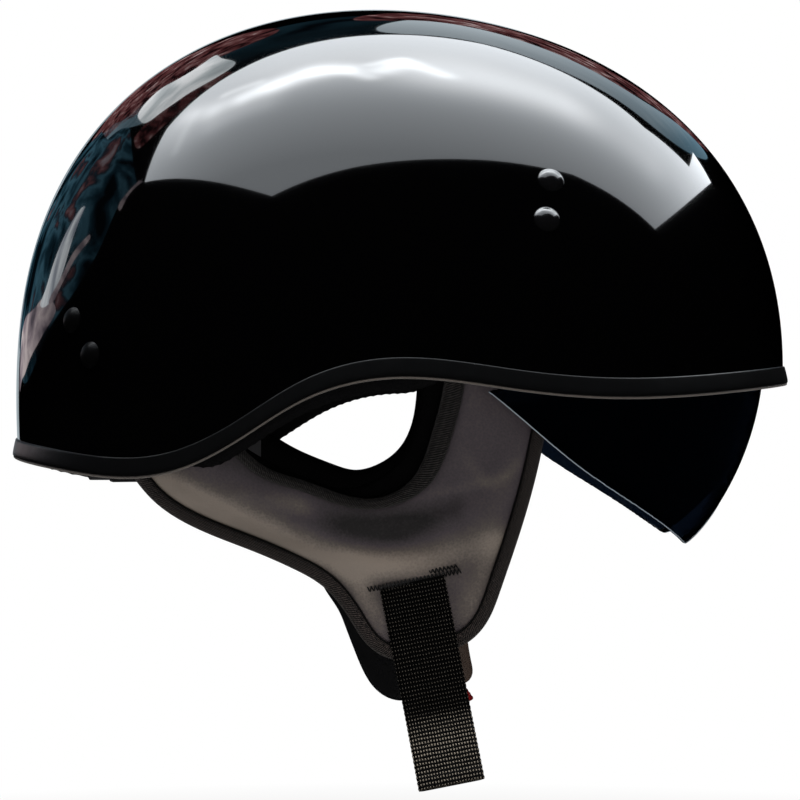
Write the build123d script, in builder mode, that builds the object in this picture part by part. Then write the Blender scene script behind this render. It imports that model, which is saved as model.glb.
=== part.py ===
from build123d import *
from math import acos, asin, cos, degrees, pi, radians, sin, sqrt, tan
import os

# Half shell motorcycle helmet, size M, with a drop-down sun visor, ear panels and a dial fit.
# Frame: +X forward, +Y to the wearer's left, +Z up, origin at the centre of the head cavity.

os.makedirs("parts", exist_ok=True)

# Shell form: distance from the origin to the outer surface along a unit vector.
# Side view terms are 1, x, z, xx, xz, xxx, xxz; plan terms 1, x, xx, z, zz act with yy.
dome_side_terms = (166.5, -11.6, -26.9, -29.9, 4.5, 11.4, 31.9)
dome_plan_terms = (-54.5, 6.0, 22.0, 31.0, -21.0)
dome_floor = -44.0
dome_rings = 12
dome_spokes = 20

# Rim of the shell in the side view, from the rear to the front
rim_points = (
    (-146, -17.5),
    (-110, -21.8),
    (-88, -23.6),
    (-72, -21.5),
    (-53, -13.0),
    (-32, 0.0),
    (0, 8.0),
    (37, 4.2),
    (67, 1.8),
    (105, 3.5),
    (146, 7.8),
)
shell_wall = 3.5
trim_proud = 1.8
trim_drop = 1.5
trim_rise = 5.3
beyond_shell = 112.0

# Foam layers, as depths below the outer surface
foam_depth = 31.5
foam_side_relief = 8.0
foam_crown_relief = 3.0
foam_lift = 6.5
pad_thick = 7.5

# Visor, turned about a pivot axis along Y
pivot_x, pivot_z = 25.7, 18.5
visor_wall = 2.0
visor_profile = (
    (104.7, 0),
    (103.7, 15),
    (100.6, 30),
    (95.3, 45),
    (86.2, 60),
    (77.8, 70),
    (67.0, 80),
    (52.2, 90),
    (42.4, 95),
    (28.5, 100),
    (20.0, 101.8),
    (12.0, 102.6),
)
visor_upper_edge = ((26.7, 29.5), (70.7, 21.5), (110.7, 27.5), (145.7, 35.5))
visor_lower_edge = ((99.2, -50.4), (88.9, -42.7), (55.0, -20.0), (28.6, 1.8), (19.7, 8.5))
visor_nose_edge = ((0, -35.0), (9, -36.5), (18, -43.8), (27, -49.4), (35, -50.6), (46, -49.2), (60, -44.5))
visor_low = -60.0
visor_sweep = 90.0
hub_radius = 12.5
hub_outer_face = 102.6
hub_bore = 5.05
visor_gap = 1.2

# Rivets on the wearer's right, mirrored to the left
front_rivet_spots = ((48.2, 70.2), (46.5, 57.2))
rear_rivet_spots = ((-106.7, 26.0), (-99.7, 14.5))
rivet_head_radius = 4.35
rivet_head_height = 2.3
rivet_shank_radius = 2.0
plate_thick = 1.5
plate_seat = 1.0
plate_width = 15.0

# Ear panels: outlines in the side view, as free edges that end inside the shell
panel_edge = (
    (-86.5, -25), (-80.7, -31.7), (-64.9, -41.6), (-47, -48.5), (-33.8, -54.2), (-25, -59.4),
    (-16.2, -70.1), (-10.1, -79), (-2, -83.5), (10, -82), (20.8, -79), (27.1, -73.4), (32.4, -61.8),
    (39.5, -40.5), (46, -14.8), (50.5, 22),
)
panel_corners = ((-93, 22), (-93, -6))
opening_edge = (
    (-72, 4), (-51.1, -14.6), (-44.1, -20.7), (-30.1, -25.9), (-16.1, -30.7), (-7.4, -31.2),
    (3.1, -26), (10.1, -11.1), (13.5, 2), (15.5, 26),
)
lining_edge = (
    (-72, 5.5), (-53.2, -12.6), (-42.7, -19.3), (-27.1, -25.9), (-18.3, -28.2), (-9.4, -26.1),
    (-0.5, -19.6), (3.9, -11.9), (6.7, 3.1), (8.0, 26),
)
panel_skin = 2.6
lining_thick = 2.6
binding_wrap = 0.6
binding_width = 4.2
opening_binding_width = 5.6
panel_lift = 13.0
panel_crest_y = 99.5
panel_crest_x = -18.0
panel_bow = 370.0
panel_lean = 0.125

# Chin strap
strap_width = 21.0
strap_thick = 1.8
strap_tilt = 11.2
strap_top = (3.75, -58.0)
strap_fold_depth = 25.2
strap_free_length = 41.6
strap_clearance = 1.5
hem_length = 4.2
ring_wire = 1.6

# Dial fit at the back of the head
fit_centre_x = -18.0
fit_height = -16.0
band_radius = 80.0
band_wall = 1.6
band_gap = 0.3
band_tall = 20.0
gear_module = 1.0
pinion_teeth = 9
pressure_angle = 30.0
tooth_reach = 0.8
tooth_root = 1.2
backlash = 0.3
dial_travel = 150.0


def outer_radius(way):
    """Distance from the origin to the shell's outer surface along a unit vector."""
    one, x, z, xx, xz, xxx, xxz = dome_side_terms
    side_view = one + x * way.X + z * way.Z + xx * way.X**2 + xz * way.X * way.Z
    side_view += xxx * way.X**3 + xxz * way.X**2 * way.Z
    one, x, xx, z, zz = dome_plan_terms
    narrowing = one + x * way.X + xx * way.X**2 + z * way.Z + zz * way.Z**2
    return side_view + narrowing * way.Y**2


def dome(depth, side_relief=0.0, crown_relief=0.0):
    """Solid dome whose skin lies at a depth below the outer surface, lofted from level rings."""

    def skin(tilt, turn):
        way = Vector(sin(tilt) * cos(turn), sin(tilt) * sin(turn), cos(tilt))
        below = depth - side_relief * way.Y**2 - crown_relief * way.Z**2
        return way * (outer_radius(way) - below)

    def skin_at_height(height, turn):
        low, high = 0.0, 0.75 * pi
        for _ in range(40):
            middle = (low + high) / 2
            if skin(middle, turn).Z > height:
                low = middle
            else:
                high = middle
        return skin(low, turn)

    top = skin(0, 0)
    last_tilt = acos(dome_floor / top.Z)
    even_steps = [spoke / dome_spokes for spoke in range(dome_spokes + 1)]
    with BuildPart() as solid:
        for ring in range(dome_rings):
            height = top.Z * cos(last_tilt * (dome_rings - ring) / dome_rings)
            around = [skin_at_height(height, 2 * pi * spoke / dome_spokes) for spoke in range(dome_spokes)]
            with BuildSketch(Plane.XY.offset(height)):
                with BuildLine():
                    add(Edge.make_spline([(point.X, point.Y) for point in around], periodic=True,
                                         parameters=even_steps))
                make_face()
        loft(sections=[*solid.pending_faces, Vertex(*top)])
    return solid.part


def rim_slab(low, high=None):
    """Block across the whole width between two lifted copies of the rim line."""
    with BuildPart() as slab:
        for aside in (140, -140):
            with BuildSketch(Plane.XZ.offset(aside)):
                with BuildLine():
                    bottom = Spline(*[(x, z + low) for x, z in rim_points])
                    if high is None:
                        Polyline(bottom @ 1, (rim_points[-1][0], 160), (rim_points[0][0], 160), bottom @ 0)
                    else:
                        top = Spline(*[(x, z + high) for x, z in rim_points])
                        Line(bottom @ 0, top @ 0)
                        Line(bottom @ 1, top @ 1)
                make_face()
        loft(ruled=True)
    return slab.part


def skin_point(x, z, side):
    """Point of the shell's outer surface over a place in the side view, on one side."""
    low, high = 0.0, 160.0
    for _ in range(40):
        middle = (low + high) / 2
        spot = Vector(x, middle, z)
        if spot.length < outer_radius(spot.normalized()):
            low = middle
        else:
            high = middle
    return Vector(x, side * low, z)


def skin_normal(point):
    """Outward normal of the shell's outer surface at a point on it."""
    step = 0.01

    def height(x, y, z):
        spot = Vector(x, y, z)
        return spot.length - outer_radius(spot.normalized())

    x, y, z = point.X, point.Y, point.Z
    slope_x = height(x + step, y, z) - height(x - step, y, z)
    slope_y = height(x, y + step, z) - height(x, y - step, z)
    slope_z = height(x, y, z + step) - height(x, y, z - step)
    return Vector(slope_x, slope_y, slope_z).normalized()


def mirrored(part):
    """The same piece for the wearer's right side."""
    return mirror(part, about=Plane.XZ)


def save(part, name):
    part.label = name
    export_step(part, "parts/" + name + ".step")


# The layers that several pieces share
outer_dome = dome(0)
shell_inner_dome = dome(shell_wall)
foam_inner_dome = dome(foam_depth, foam_side_relief, foam_crown_relief)
head_dome = dome(foam_depth + pad_thick, foam_side_relief, foam_crown_relief)

# Rivets: domed steel heads outside, a shank through shell and plate, a peened tail inside
rivet_grip = shell_wall + plate_seat + plate_thick
rivet_sink = 0.1
rivet_tail_radius = 3.2
rivet_tail_height = 1.4
cap_height = rivet_head_height + rivet_sink
cap_radius = (rivet_head_radius**2 + cap_height**2) / (2 * cap_height)
cap_turn = asin(rivet_head_radius / cap_radius) / 2
with BuildPart() as rivet:
    with BuildSketch(Plane.XZ):
        with BuildLine():
            Polyline(
                (0, rivet_head_height),
                (0, -rivet_grip - rivet_tail_height),
                (rivet_tail_radius, -rivet_grip - rivet_tail_height),
                (rivet_tail_radius, -rivet_grip),
                (rivet_shank_radius, -rivet_grip),
                (rivet_shank_radius, -rivet_sink),
                (rivet_head_radius, -rivet_sink),
            )
            ThreePointArc(
                (rivet_head_radius, -rivet_sink),
                (cap_radius * sin(cap_turn), rivet_head_height - cap_radius * (1 - cos(cap_turn))),
                (0, rivet_head_height),
            )
        make_face()
    revolve(axis=Axis.Z)


def rivets(spots):
    """Rivets at places in the side view, on both sides of the shell."""
    places = []
    for x, z in spots:
        for side in (1, -1):
            point = skin_point(x, z, side)
            places.append(Plane(origin=point, z_dir=skin_normal(point)).location)
    with BuildPart() as group:
        with Locations(*places):
            add(rivet.part)
    return group.part


rivets_front = rivets(front_rivet_spots)
rivets_rear = rivets(rear_rivet_spots)
save(rivets_front, "rivets_front")
save(rivets_rear, "rivets_rear")


# Strap anchor plates: pressed steel, clamped under the shell by each pair of rivets
def anchor_plate(spots, side, group):
    high, low = [skin_point(x, z, side) for x, z in spots]
    middle = (high + low) / 2
    normal = (skin_normal(high) + skin_normal(low)).normalized()
    seat = Plane(origin=middle, x_dir=high - low, z_dir=normal)
    with BuildPart() as plate:
        with BuildSketch(seat.offset(-shell_wall - plate_seat)):
            SlotCenterToCenter((high - low).length, plate_width)
        extrude(amount=-plate_thick)
        add(group, mode=Mode.SUBTRACT)
    return plate.part


anchor_plates = []
for place, spots, group in (
    ("front", front_rivet_spots, rivets_front),
    ("rear", rear_rivet_spots, rivets_rear),
):
    for hand, side in (("left", 1), ("right", -1)):
        plate = anchor_plate(spots, side, group)
        save(plate, "anchor_plate_" + place + "_" + hand)
        anchor_plates.append(plate)

# Outer shell: one moulded skin, 3.5 mm thick, cut to the rim line and drilled for the rivets
with BuildPart() as outer_shell:
    add(outer_dome)
    add(shell_inner_dome, mode=Mode.SUBTRACT)
    add(rim_slab(0), mode=Mode.INTERSECT)
    add(rivets_front, mode=Mode.SUBTRACT)
    add(rivets_rear, mode=Mode.SUBTRACT)
save(outer_shell.part, "outer_shell")

# Edge trim: a rubber channel pressed over the rim
with BuildPart() as rim_groove:
    add(outer_dome)
    add(shell_inner_dome, mode=Mode.SUBTRACT)
    add(rim_slab(0, trim_rise + 3), mode=Mode.INTERSECT)
with BuildPart() as edge_trim:
    add(dome(-trim_proud))
    add(dome(shell_wall + trim_proud), mode=Mode.SUBTRACT)
    add(rim_slab(-trim_drop, trim_rise), mode=Mode.INTERSECT)
    add(rim_groove.part, mode=Mode.SUBTRACT)
save(edge_trim.part, "edge_trim")


# Sun visor: a smoked lens turned about the pivot axis, cut to its lobes, nose arch and arms
def visor_curve(inset):
    """Half profile of the visor, as radius from the pivot axis and distance to the side."""
    points = []
    for index, (radius, aside) in enumerate(visor_profile):
        before = visor_profile[max(index - 1, 0)]
        after = visor_profile[min(index + 1, len(visor_profile) - 1)]
        run_radius, run_aside = after[0] - before[0], after[1] - before[1]
        if index == 0:
            run_radius = 0
        run = sqrt(run_radius**2 + run_aside**2)
        points.append((radius - inset * run_aside / run, aside + inset * run_radius / run))
    return points


def visor_ring(outer_inset, inner_inset, arc_start, arc, reach=0):
    """Left half of a shell of revolution between two insets of the visor profile."""
    outer = visor_curve(outer_inset)
    inner = visor_curve(inner_inset)
    way = radians(arc_start)
    outwards, upwards = (cos(way), 0, sin(way)), (-sin(way), 0, cos(way))
    start = Plane(origin=(pivot_x, 0, pivot_z), x_dir=outwards, z_dir=upwards)
    with BuildPart() as ring:
        with BuildSketch(start):
            with BuildLine():
                if reach:
                    Polyline((inner[0][0], 0), (reach, 0), (reach, beyond_shell), (0, beyond_shell),
                             (0, inner[-1][1]), inner[-1])
                else:
                    Spline(*outer, tangents=((0, 1), (-1, 0.05)))
                    Line(outer[0], inner[0])
                    Line(outer[-1], inner[-1])
                Spline(*inner, tangents=((0, 1), (-1, 0.05)))
            make_face()
        revolve(axis=Axis((pivot_x, 0, pivot_z), (0, -1, 0)), revolution_arc=arc)
    return ring.part


with BuildPart() as visor_half:
    add(visor_ring(0, visor_wall, -60, visor_sweep))
    with BuildSketch(Plane.XZ):
        with BuildLine():
            front_x, brow_x = visor_lower_edge[0][0], visor_upper_edge[-1][0]
            Polyline(*visor_upper_edge, (brow_x, visor_low), (front_x, visor_low), visor_lower_edge[0])
            Spline(*visor_lower_edge)
            Line(visor_lower_edge[-1], visor_upper_edge[0])
        make_face()
    extrude(amount=-120, mode=Mode.INTERSECT)
    with BuildSketch(Plane.YZ):
        with BuildLine():
            Spline(*visor_nose_edge)
            below = visor_low - 10
            Polyline(visor_nose_edge[-1], (visor_nose_edge[-1][0], below), (0, below), visor_nose_edge[0])
        make_face()
    extrude(amount=150, mode=Mode.SUBTRACT)
    with BuildSketch(Plane.XZ.offset(-hub_outer_face)):
        with Locations((pivot_x, pivot_z)):
            Circle(hub_radius)
    extrude(amount=visor_wall)
    with BuildSketch(Plane.XZ.offset(-hub_outer_face)):
        with Locations((pivot_x, pivot_z)):
            Circle(hub_bore)
    extrude(amount=8, both=True, mode=Mode.SUBTRACT)
with BuildPart() as sun_visor:
    add(visor_half.part)
    add(mirrored(visor_half.part))
save(sun_visor.part, "sun_visor")

# Visor pivots: a moulded bracket bonded inside the shell, a washer and a screw on each side
boss_radius = 5.0
boss_end = 100.45
shoulder_radius = 8.0
shoulder_face = 102.75
bracket_radius = 13.0
bracket_face = 104.0
washer_radius = 8.0
washer_face = boss_end - 0.8
screw_radius = 1.6
screw_head_radius = 4.0
screw_head_face = washer_face - 2.2
socket_radius = 1.3
socket_floor = screw_head_face + 1.3


def pivot_disc(start, end, radius, mode=Mode.ADD):
    """Disc about the visor's pivot axis between two distances to the left."""
    with BuildSketch(Plane.XZ.offset(-start)) as disc:
        with Locations((pivot_x, pivot_z)):
            Circle(radius)
    extrude(disc.sketch, amount=start - end, mode=mode)


with BuildPart() as pivot_bracket_left:
    pivot_disc(bracket_face, beyond_shell, bracket_radius)
    add(shell_inner_dome, mode=Mode.INTERSECT)
    add(rim_slab(trim_rise + 0.5), mode=Mode.INTERSECT)
    pivot_disc(shoulder_face, bracket_face, shoulder_radius)
    pivot_disc(boss_end, shoulder_face, boss_radius)
    pivot_disc(boss_end, bracket_face, screw_radius, Mode.SUBTRACT)
with BuildPart() as pivot_washer_left:
    pivot_disc(washer_face, boss_end, washer_radius)
    pivot_disc(washer_face, boss_end, screw_radius, Mode.SUBTRACT)
with BuildPart() as pivot_screw_left:
    pivot_disc(washer_face, bracket_face, screw_radius)
    pivot_disc(screw_head_face, washer_face, screw_head_radius)
    fillet(pivot_screw_left.faces().sort_by(Axis.Y)[0].edges(), radius=1.0)
    pivot_disc(screw_head_face, socket_floor, socket_radius, Mode.SUBTRACT)
for piece, name in (
    (pivot_bracket_left, "pivot_bracket"),
    (pivot_washer_left, "pivot_washer"),
    (pivot_screw_left, "pivot_screw"),
):
    save(piece.part, name + "_left")
    save(mirrored(piece.part), name + "_right")

# Visor lever: clipped to the left hub, it reaches below the rim for a thumb
lever_face = hub_outer_face - visor_wall
lever_wall = 1.8
lever_bore = 8.6
lever_width = 8.0
lever_reach = 29.0
lever_angle = -115.0
thumb_radius = 6.0
thumb_stud_radius = 4.8
thumb_stud_height = 2.6
with BuildPart() as visor_lever:
    with BuildSketch(Plane.XZ.offset(-lever_face)):
        with Locations((pivot_x, pivot_z)):
            Circle(hub_radius)
            with Locations(Location((0, 0), lever_angle)):
                with Locations((lever_reach / 2, 0)):
                    Rectangle(lever_reach, lever_width)
                with Locations((lever_reach, 0)):
                    Circle(thumb_radius)
            Circle(lever_bore, mode=Mode.SUBTRACT)
    extrude(amount=lever_wall)
    with BuildSketch(Plane.XZ.offset(-lever_face)):
        with Locations((pivot_x, pivot_z)):
            with Locations(Location((0, 0), lever_angle)):
                with Locations((lever_reach, 0)):
                    Circle(thumb_stud_radius)
    extrude(amount=-thumb_stud_height)
    fillet(visor_lever.edges().filter_by(GeomType.CIRCLE).sort_by(Axis.Y)[-1], radius=0.8)
save(visor_lever.part, "visor_lever")


# Ear panels: a bowed, leaning layer cut to a Y-shaped outline with an opening over the ear
def panel_layer(outer_depth, inner_depth):
    """Layer of the left panel between two depths below its outer face."""
    with BuildPart() as layer:
        for height in (24.0, -100.0):
            crest = panel_crest_y + panel_lean * (height - 10)
            with BuildSketch(Plane.XY.offset(height)):
                with BuildLine():
                    arcs = []
                    for depth in (outer_depth, inner_depth):
                        corners = [
                            (panel_crest_x + reach, crest - depth - reach**2 / panel_bow)
                            for reach in (-92, 0, 92)
                        ]
                        arcs.append(ThreePointArc(*corners))
                    Line(arcs[0] @ 0, arcs[1] @ 0)
                    Line(arcs[0] @ 1, arcs[1] @ 1)
                make_face()
        loft(ruled=True)
    return layer.part


def moved(points, aside):
    """Points of an outline moved to the left of the run of a line through them."""
    result = []
    for before, spot, after in zip(points[:1] + points[:-1], points, points[1:] + points[-1:]):
        run = (Vector(*after) - Vector(*before)).normalized()
        result.append((spot[0] - aside * run.Y, spot[1] + aside * run.X))
    return result


def outline(free_edge, corners, inset=0.0):
    """Face in the side view inside a free edge, moved inwards, and its corners."""
    with BuildSketch() as region:
        with BuildLine():
            edge = Spline(*moved(free_edge, inset))
            Polyline(edge @ 1, *corners, edge @ 0)
        make_face()
    return region.sketch


above_panel = rim_slab(panel_lift)
panel_depth = panel_skin + lining_thick
opening_corner = ((opening_edge[0][0], opening_edge[-1][1]),)
outer_outline = outline(panel_edge, panel_corners)
inner_outline = outline(panel_edge, panel_corners, binding_width)
opening = outline(opening_edge, opening_corner)
opening_bound = outline(opening_edge, opening_corner, -opening_binding_width)
lining_opening = outline(lining_edge, opening_corner)


def panel_piece(regions, outer_depth, inner_depth):
    """Piece of the left panel: outline regions with their modes, between two depths."""
    with BuildPart() as piece:
        with BuildSketch(Plane.XZ):
            for region, mode in regions:
                add(region, mode=mode)
        extrude(amount=-120)
        add(panel_layer(outer_depth, inner_depth), mode=Mode.INTERSECT)
        add(above_panel, mode=Mode.SUBTRACT)
    return piece.part


field = ((inner_outline, Mode.ADD), (opening_bound, Mode.SUBTRACT))
backing = ((inner_outline, Mode.ADD), (lining_opening, Mode.SUBTRACT))
hem = ((outer_outline, Mode.ADD), (inner_outline, Mode.SUBTRACT), (opening_bound, Mode.SUBTRACT))
collar = ((opening_bound, Mode.ADD), (opening, Mode.SUBTRACT), (inner_outline, Mode.INTERSECT))
panel_pieces = {
    "ear_panel": panel_piece(field, 0, panel_skin),
    "panel_lining": panel_piece(backing, panel_skin, panel_depth),
    "panel_binding": panel_piece(hem, -binding_wrap, panel_depth + binding_wrap),
    "opening_binding": panel_piece(collar, -binding_wrap, panel_skin),
}
for name, piece in panel_pieces.items():
    save(piece, name + "_left")
    save(mirrored(piece), name + "_right")

# Chin strap: webbing sewn to each panel's outer face, then hanging free below it
tilt = radians(strap_tilt)
strap_across = Vector(cos(tilt), 0, sin(tilt))
strap_down = Vector(sin(tilt), 0, -cos(tilt))
fold = Vector(strap_top[0], 0, strap_top[1]) + strap_down * strap_fold_depth
fold_panel_y = panel_crest_y + panel_lean * (fold.Z - 10) - (fold.X - panel_crest_x) ** 2 / panel_bow
fold_y = fold_panel_y + binding_wrap + strap_thick / 2 + strap_clearance
sewn_length = strap_fold_depth - strap_thick / 2 - 0.6
with BuildPart() as strap_anchor_left:
    with BuildSketch(Plane.XZ):
        middle = Vector(strap_top[0], 0, strap_top[1]) + strap_down * sewn_length / 2
        with Locations(Location((middle.X, middle.Z), strap_tilt)):
            Rectangle(strap_width, sewn_length)
    extrude(amount=-120)
    add(panel_layer(-strap_thick, 0), mode=Mode.INTERSECT)
    add(panel_pieces["panel_binding"], mode=Mode.SUBTRACT)
save(strap_anchor_left.part, "strap_anchor_left")
save(mirrored(strap_anchor_left.part), "strap_anchor_right")


def strap_side_plane(side, across=0.0):
    """Plane across the strap: local x points to the left, local y up along the strap."""
    corner = Vector(fold.X, side * fold_y, fold.Z) + strap_across * across
    return Plane(origin=corner, x_dir=(0, 1, 0), z_dir=strap_across)


with BuildPart() as chin_strap_right:
    with BuildSketch(strap_side_plane(-1, -strap_width / 2)):
        Circle(strap_thick / 2)
        with Locations((0, -strap_free_length / 2)):
            Rectangle(strap_thick, strap_free_length)
        with Locations((0, hem_length / 2 - strap_free_length)):
            Rectangle(1.6 * strap_thick, hem_length)
    extrude(amount=strap_width)
save(chin_strap_right.part, "chin_strap_right")

# Left strap: a short tail that closes in an eye round the bars of both D rings
ring_drop = 16.0
ring_spread = 2.8
eye_bore = ring_wire + 0.3
eye_wall = 1.4
with BuildPart() as chin_strap_left:
    with BuildSketch(strap_side_plane(1, -strap_width / 2)):
        Circle(strap_thick / 2)
        with Locations((0, -ring_drop / 2)):
            Rectangle(strap_thick, ring_drop)
        with Locations((0, -ring_drop)):
            SlotCenterToCenter(2 * ring_spread, 2 * (eye_bore + eye_wall))
            SlotCenterToCenter(2 * ring_spread, 2 * eye_bore, mode=Mode.SUBTRACT)
    extrude(amount=strap_width)
save(chin_strap_left.part, "chin_strap_left")

# D rings: bent steel wire, each hanging by its straight bar in the eye
ring_half_width = 13.6
ring_side = 4.0
ring_corner = 2.4


def d_ring(aside):
    face = Plane(
        origin=Vector(fold.X, fold_y + aside, fold.Z) + strap_down * ring_drop,
        x_dir=strap_across,
        z_dir=(0, -1, 0),
    )
    with BuildPart() as ring:
        with BuildLine(face):
            bar_end = ring_half_width - ring_corner
            bend = ring_corner * (1 - sqrt(0.5))
            Line((-bar_end, 0), (bar_end, 0))
            ThreePointArc((bar_end, 0), (ring_half_width - bend, -bend), (ring_half_width, -ring_corner))
            Line((ring_half_width, -ring_corner), (ring_half_width, -ring_side))
            ThreePointArc(
                (ring_half_width, -ring_side),
                (0, -ring_side - ring_half_width),
                (-ring_half_width, -ring_side),
            )
            Line((-ring_half_width, -ring_side), (-ring_half_width, -ring_corner))
            ThreePointArc((-ring_half_width, -ring_corner), (bend - ring_half_width, -bend), (-bar_end, 0))
        with BuildSketch(Plane(origin=face.origin, x_dir=(0, 1, 0), z_dir=strap_across)):
            Circle(ring_wire)
        sweep()
    return ring.part


save(d_ring(-ring_spread), "d_ring_inner")
save(d_ring(ring_spread), "d_ring_outer")

# Pull tab: red webbing folded round the outer D ring, to loosen the strap
tab_width = 7.0
tab_length = 11.0
tab_bore = 2.1
tab_wall = 1.0
tab_swing = radians(24.0)
tab_centre = (
    Vector(fold.X, fold_y + ring_spread, fold.Z)
    + strap_down * (ring_drop + ring_side + ring_half_width * cos(tab_swing))
    + strap_across * ring_half_width * sin(tab_swing)
)
tab_across = strap_across * cos(tab_swing) - strap_down * sin(tab_swing)
with BuildPart() as pull_tab:
    tab_corner = tab_centre - tab_across * tab_width / 2
    with BuildSketch(Plane(origin=tab_corner, x_dir=(0, 1, 0), z_dir=tab_across)):
        Circle(tab_bore + tab_wall)
        with Locations((0, -tab_length / 2)):
            Rectangle(2 * tab_wall, tab_length)
        Circle(tab_bore, mode=Mode.SUBTRACT)
    extrude(amount=tab_width)
save(pull_tab.part, "pull_tab")

# Chin guard: a padded leather flap that keeps the rings off the chin
guard_rear_edge = (
    (-20.8, -93.5), (-18.2, -100.2), (-14.9, -108.0), (-10.4, -115.0), (-4.6, -119.2), (-0.8, -120.2),
)
guard_front_edge = ((24.4, -113.8), (28.4, -111), (28.3, -106), (25.2, -97), (23.8, -89.6))
anchor_corners = ((-33, -70), (-36, -62), (-10, -57), (26, -60), (23.5, -75), (22.5, -79.5), (-23.2, -87.3))
guard_thick = 3.0
guard_face_y = fold_y - ring_spread - eye_bore - eye_wall
with BuildPart() as chin_guard:
    with BuildSketch(Plane.XZ.offset(-guard_face_y)):
        with BuildLine():
            Spline(*guard_rear_edge)
            Line(guard_rear_edge[-1], guard_front_edge[0])
            Spline(*guard_front_edge)
            Line(guard_front_edge[-1], guard_rear_edge[0])
        make_face()
    extrude(amount=guard_thick)
save(chin_guard.part, "chin_guard")

# Upper part of the same flap, sewn to the inner face of the left panel
with BuildPart() as guard_anchor:
    with BuildSketch(Plane.XZ):
        with BuildLine():
            Polyline(*anchor_corners, close=True)
        make_face()
    extrude(amount=-120)
    lining_face = panel_depth + binding_wrap
    add(panel_layer(lining_face, lining_face + guard_thick), mode=Mode.INTERSECT)
save(guard_anchor.part, "guard_anchor")


# Foam liner: expanded foam with pockets for the visor, its pivots, the plates and the dial
def fit_sector(inner_radius, outer_radius, from_angle, to_angle, bottom, top):
    """Ring sector about the dial fit's upright axis; angles run from the rear to the left."""
    with BuildPart() as sector:
        with BuildSketch(Plane.XY.offset(bottom)):
            with BuildLine():
                arcs = [
                    CenterArc((fit_centre_x, 0), radius, 180 - to_angle, to_angle - from_angle)
                    for radius in (inner_radius, outer_radius)
                ]
                Line(arcs[0] @ 0, arcs[1] @ 0)
                Line(arcs[0] @ 1, arcs[1] @ 1)
            make_face()
        extrude(amount=top - bottom)
    return sector.part


inner_band = (band_radius, band_radius + band_wall)
outer_band = (band_radius + band_wall + band_gap, band_radius + 2 * band_wall + band_gap)
band_low = fit_height - band_tall / 2
band_high = fit_height + band_tall / 2
running_gap = 0.2
guide_angles = (48.5, 53.0)
guide_rail = 1.9
guide_foot = (band_high - 5.0, band_high + 6.0)
for hand, side, radii in (("left", 1, inner_band), ("right", -1, outer_band)):
    start, end = sorted(side * angle for angle in guide_angles)
    low, high = band_low - running_gap, band_high + running_gap
    with BuildPart() as guide:
        add(fit_sector(radii[0] - guide_rail, radii[1] + guide_rail, start, end,
                       low - guide_rail, high + guide_rail))
        add(fit_sector(radii[1] + 0.5, 110, start, end, *guide_foot))
        add(foam_inner_dome, mode=Mode.INTERSECT)
        add(fit_sector(radii[0] - running_gap, radii[1] + running_gap, start - 1, end + 1, low, high),
            mode=Mode.SUBTRACT)
    save(guide.part, "band_guide_" + hand)

knob_radius = 13.0
knob_thick = 8.0
housing_inner = band_radius - 0.3
housing_wall_start = outer_band[1] + 0.3
housing_outer = housing_wall_start + 2.6
housing_half = 17.5
rail = 2.5
knob_x = fit_centre_x - housing_outer - 0.4
pocket_sweep = 142.0
pivot_pocket_radius = hub_radius + 4.0
pivot_pocket_face = 96.5
knob_pocket_length = knob_thick + 6.0
knob_pocket_width = 2 * knob_radius + 8.0
knob_pocket_height = knob_radius + 23.0
with BuildPart() as impact_liner:
    add(shell_inner_dome)
    add(foam_inner_dome, mode=Mode.SUBTRACT)
    add(rim_slab(foam_lift), mode=Mode.INTERSECT)
    pocket = visor_ring(0, visor_wall + visor_gap, -60, pocket_sweep, reach=150)
    add(pocket, mode=Mode.SUBTRACT)
    add(mirrored(pocket), mode=Mode.SUBTRACT)
    for side in (1, -1):
        with BuildSketch(Plane.XZ.offset(side * pivot_pocket_face)):
            with Locations((pivot_x, pivot_z)):
                Circle(pivot_pocket_radius)
        extrude(amount=side * 20, mode=Mode.SUBTRACT)
    for plate in anchor_plates:
        add(plate, mode=Mode.SUBTRACT)
    add(rivets_front, mode=Mode.SUBTRACT)
    add(rivets_rear, mode=Mode.SUBTRACT)
    for piece in panel_pieces.values():
        add(piece, mode=Mode.SUBTRACT)
        add(mirrored(piece), mode=Mode.SUBTRACT)
    with BuildSketch(Plane.XY.offset(band_low - 10)):
        with Locations((knob_x - knob_thick / 2 - 1, 0)):
            Rectangle(knob_pocket_length, knob_pocket_width)
    extrude(amount=knob_pocket_height, mode=Mode.SUBTRACT)
save(impact_liner.part, "impact_liner")

# Liner skirts: the fabric edge of the liner, which hangs a little below the rim over the ears
# and behind the head
skirt_start = shell_wall + trim_proud + 0.3
skirt_end = skirt_start + 4.2
ear_skirt_drop = 5.6
rear_skirt_drop = 2.8
with BuildPart() as skirt_layer:
    add(dome(skirt_start))
    add(dome(skirt_end), mode=Mode.SUBTRACT)
for name, drop, middle, reach, start, end in (
    ("left", ear_skirt_drop, -20.0, 64.0, 60.0, 125.0),
    ("right", ear_skirt_drop, -20.0, 64.0, -125.0, -60.0),
    ("rear", rear_skirt_drop, -125.0, 62.0, -100.0, 100.0),
):
    with BuildPart() as skirt:
        add(skirt_layer.part)
        add(rim_slab(-drop, foam_lift), mode=Mode.INTERSECT)
        with BuildSketch(Plane.XY.offset(-60)):
            with Locations((middle, (start + end) / 2)):
                Rectangle(reach, end - start)
        extrude(amount=90, mode=Mode.INTERSECT)
    save(skirt.part, "liner_skirt_" + name)

# Comfort pads: fabric-covered foam between the liner and the head
with BuildPart() as pad_layer:
    add(foam_inner_dome)
    add(head_dome, mode=Mode.SUBTRACT)

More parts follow.
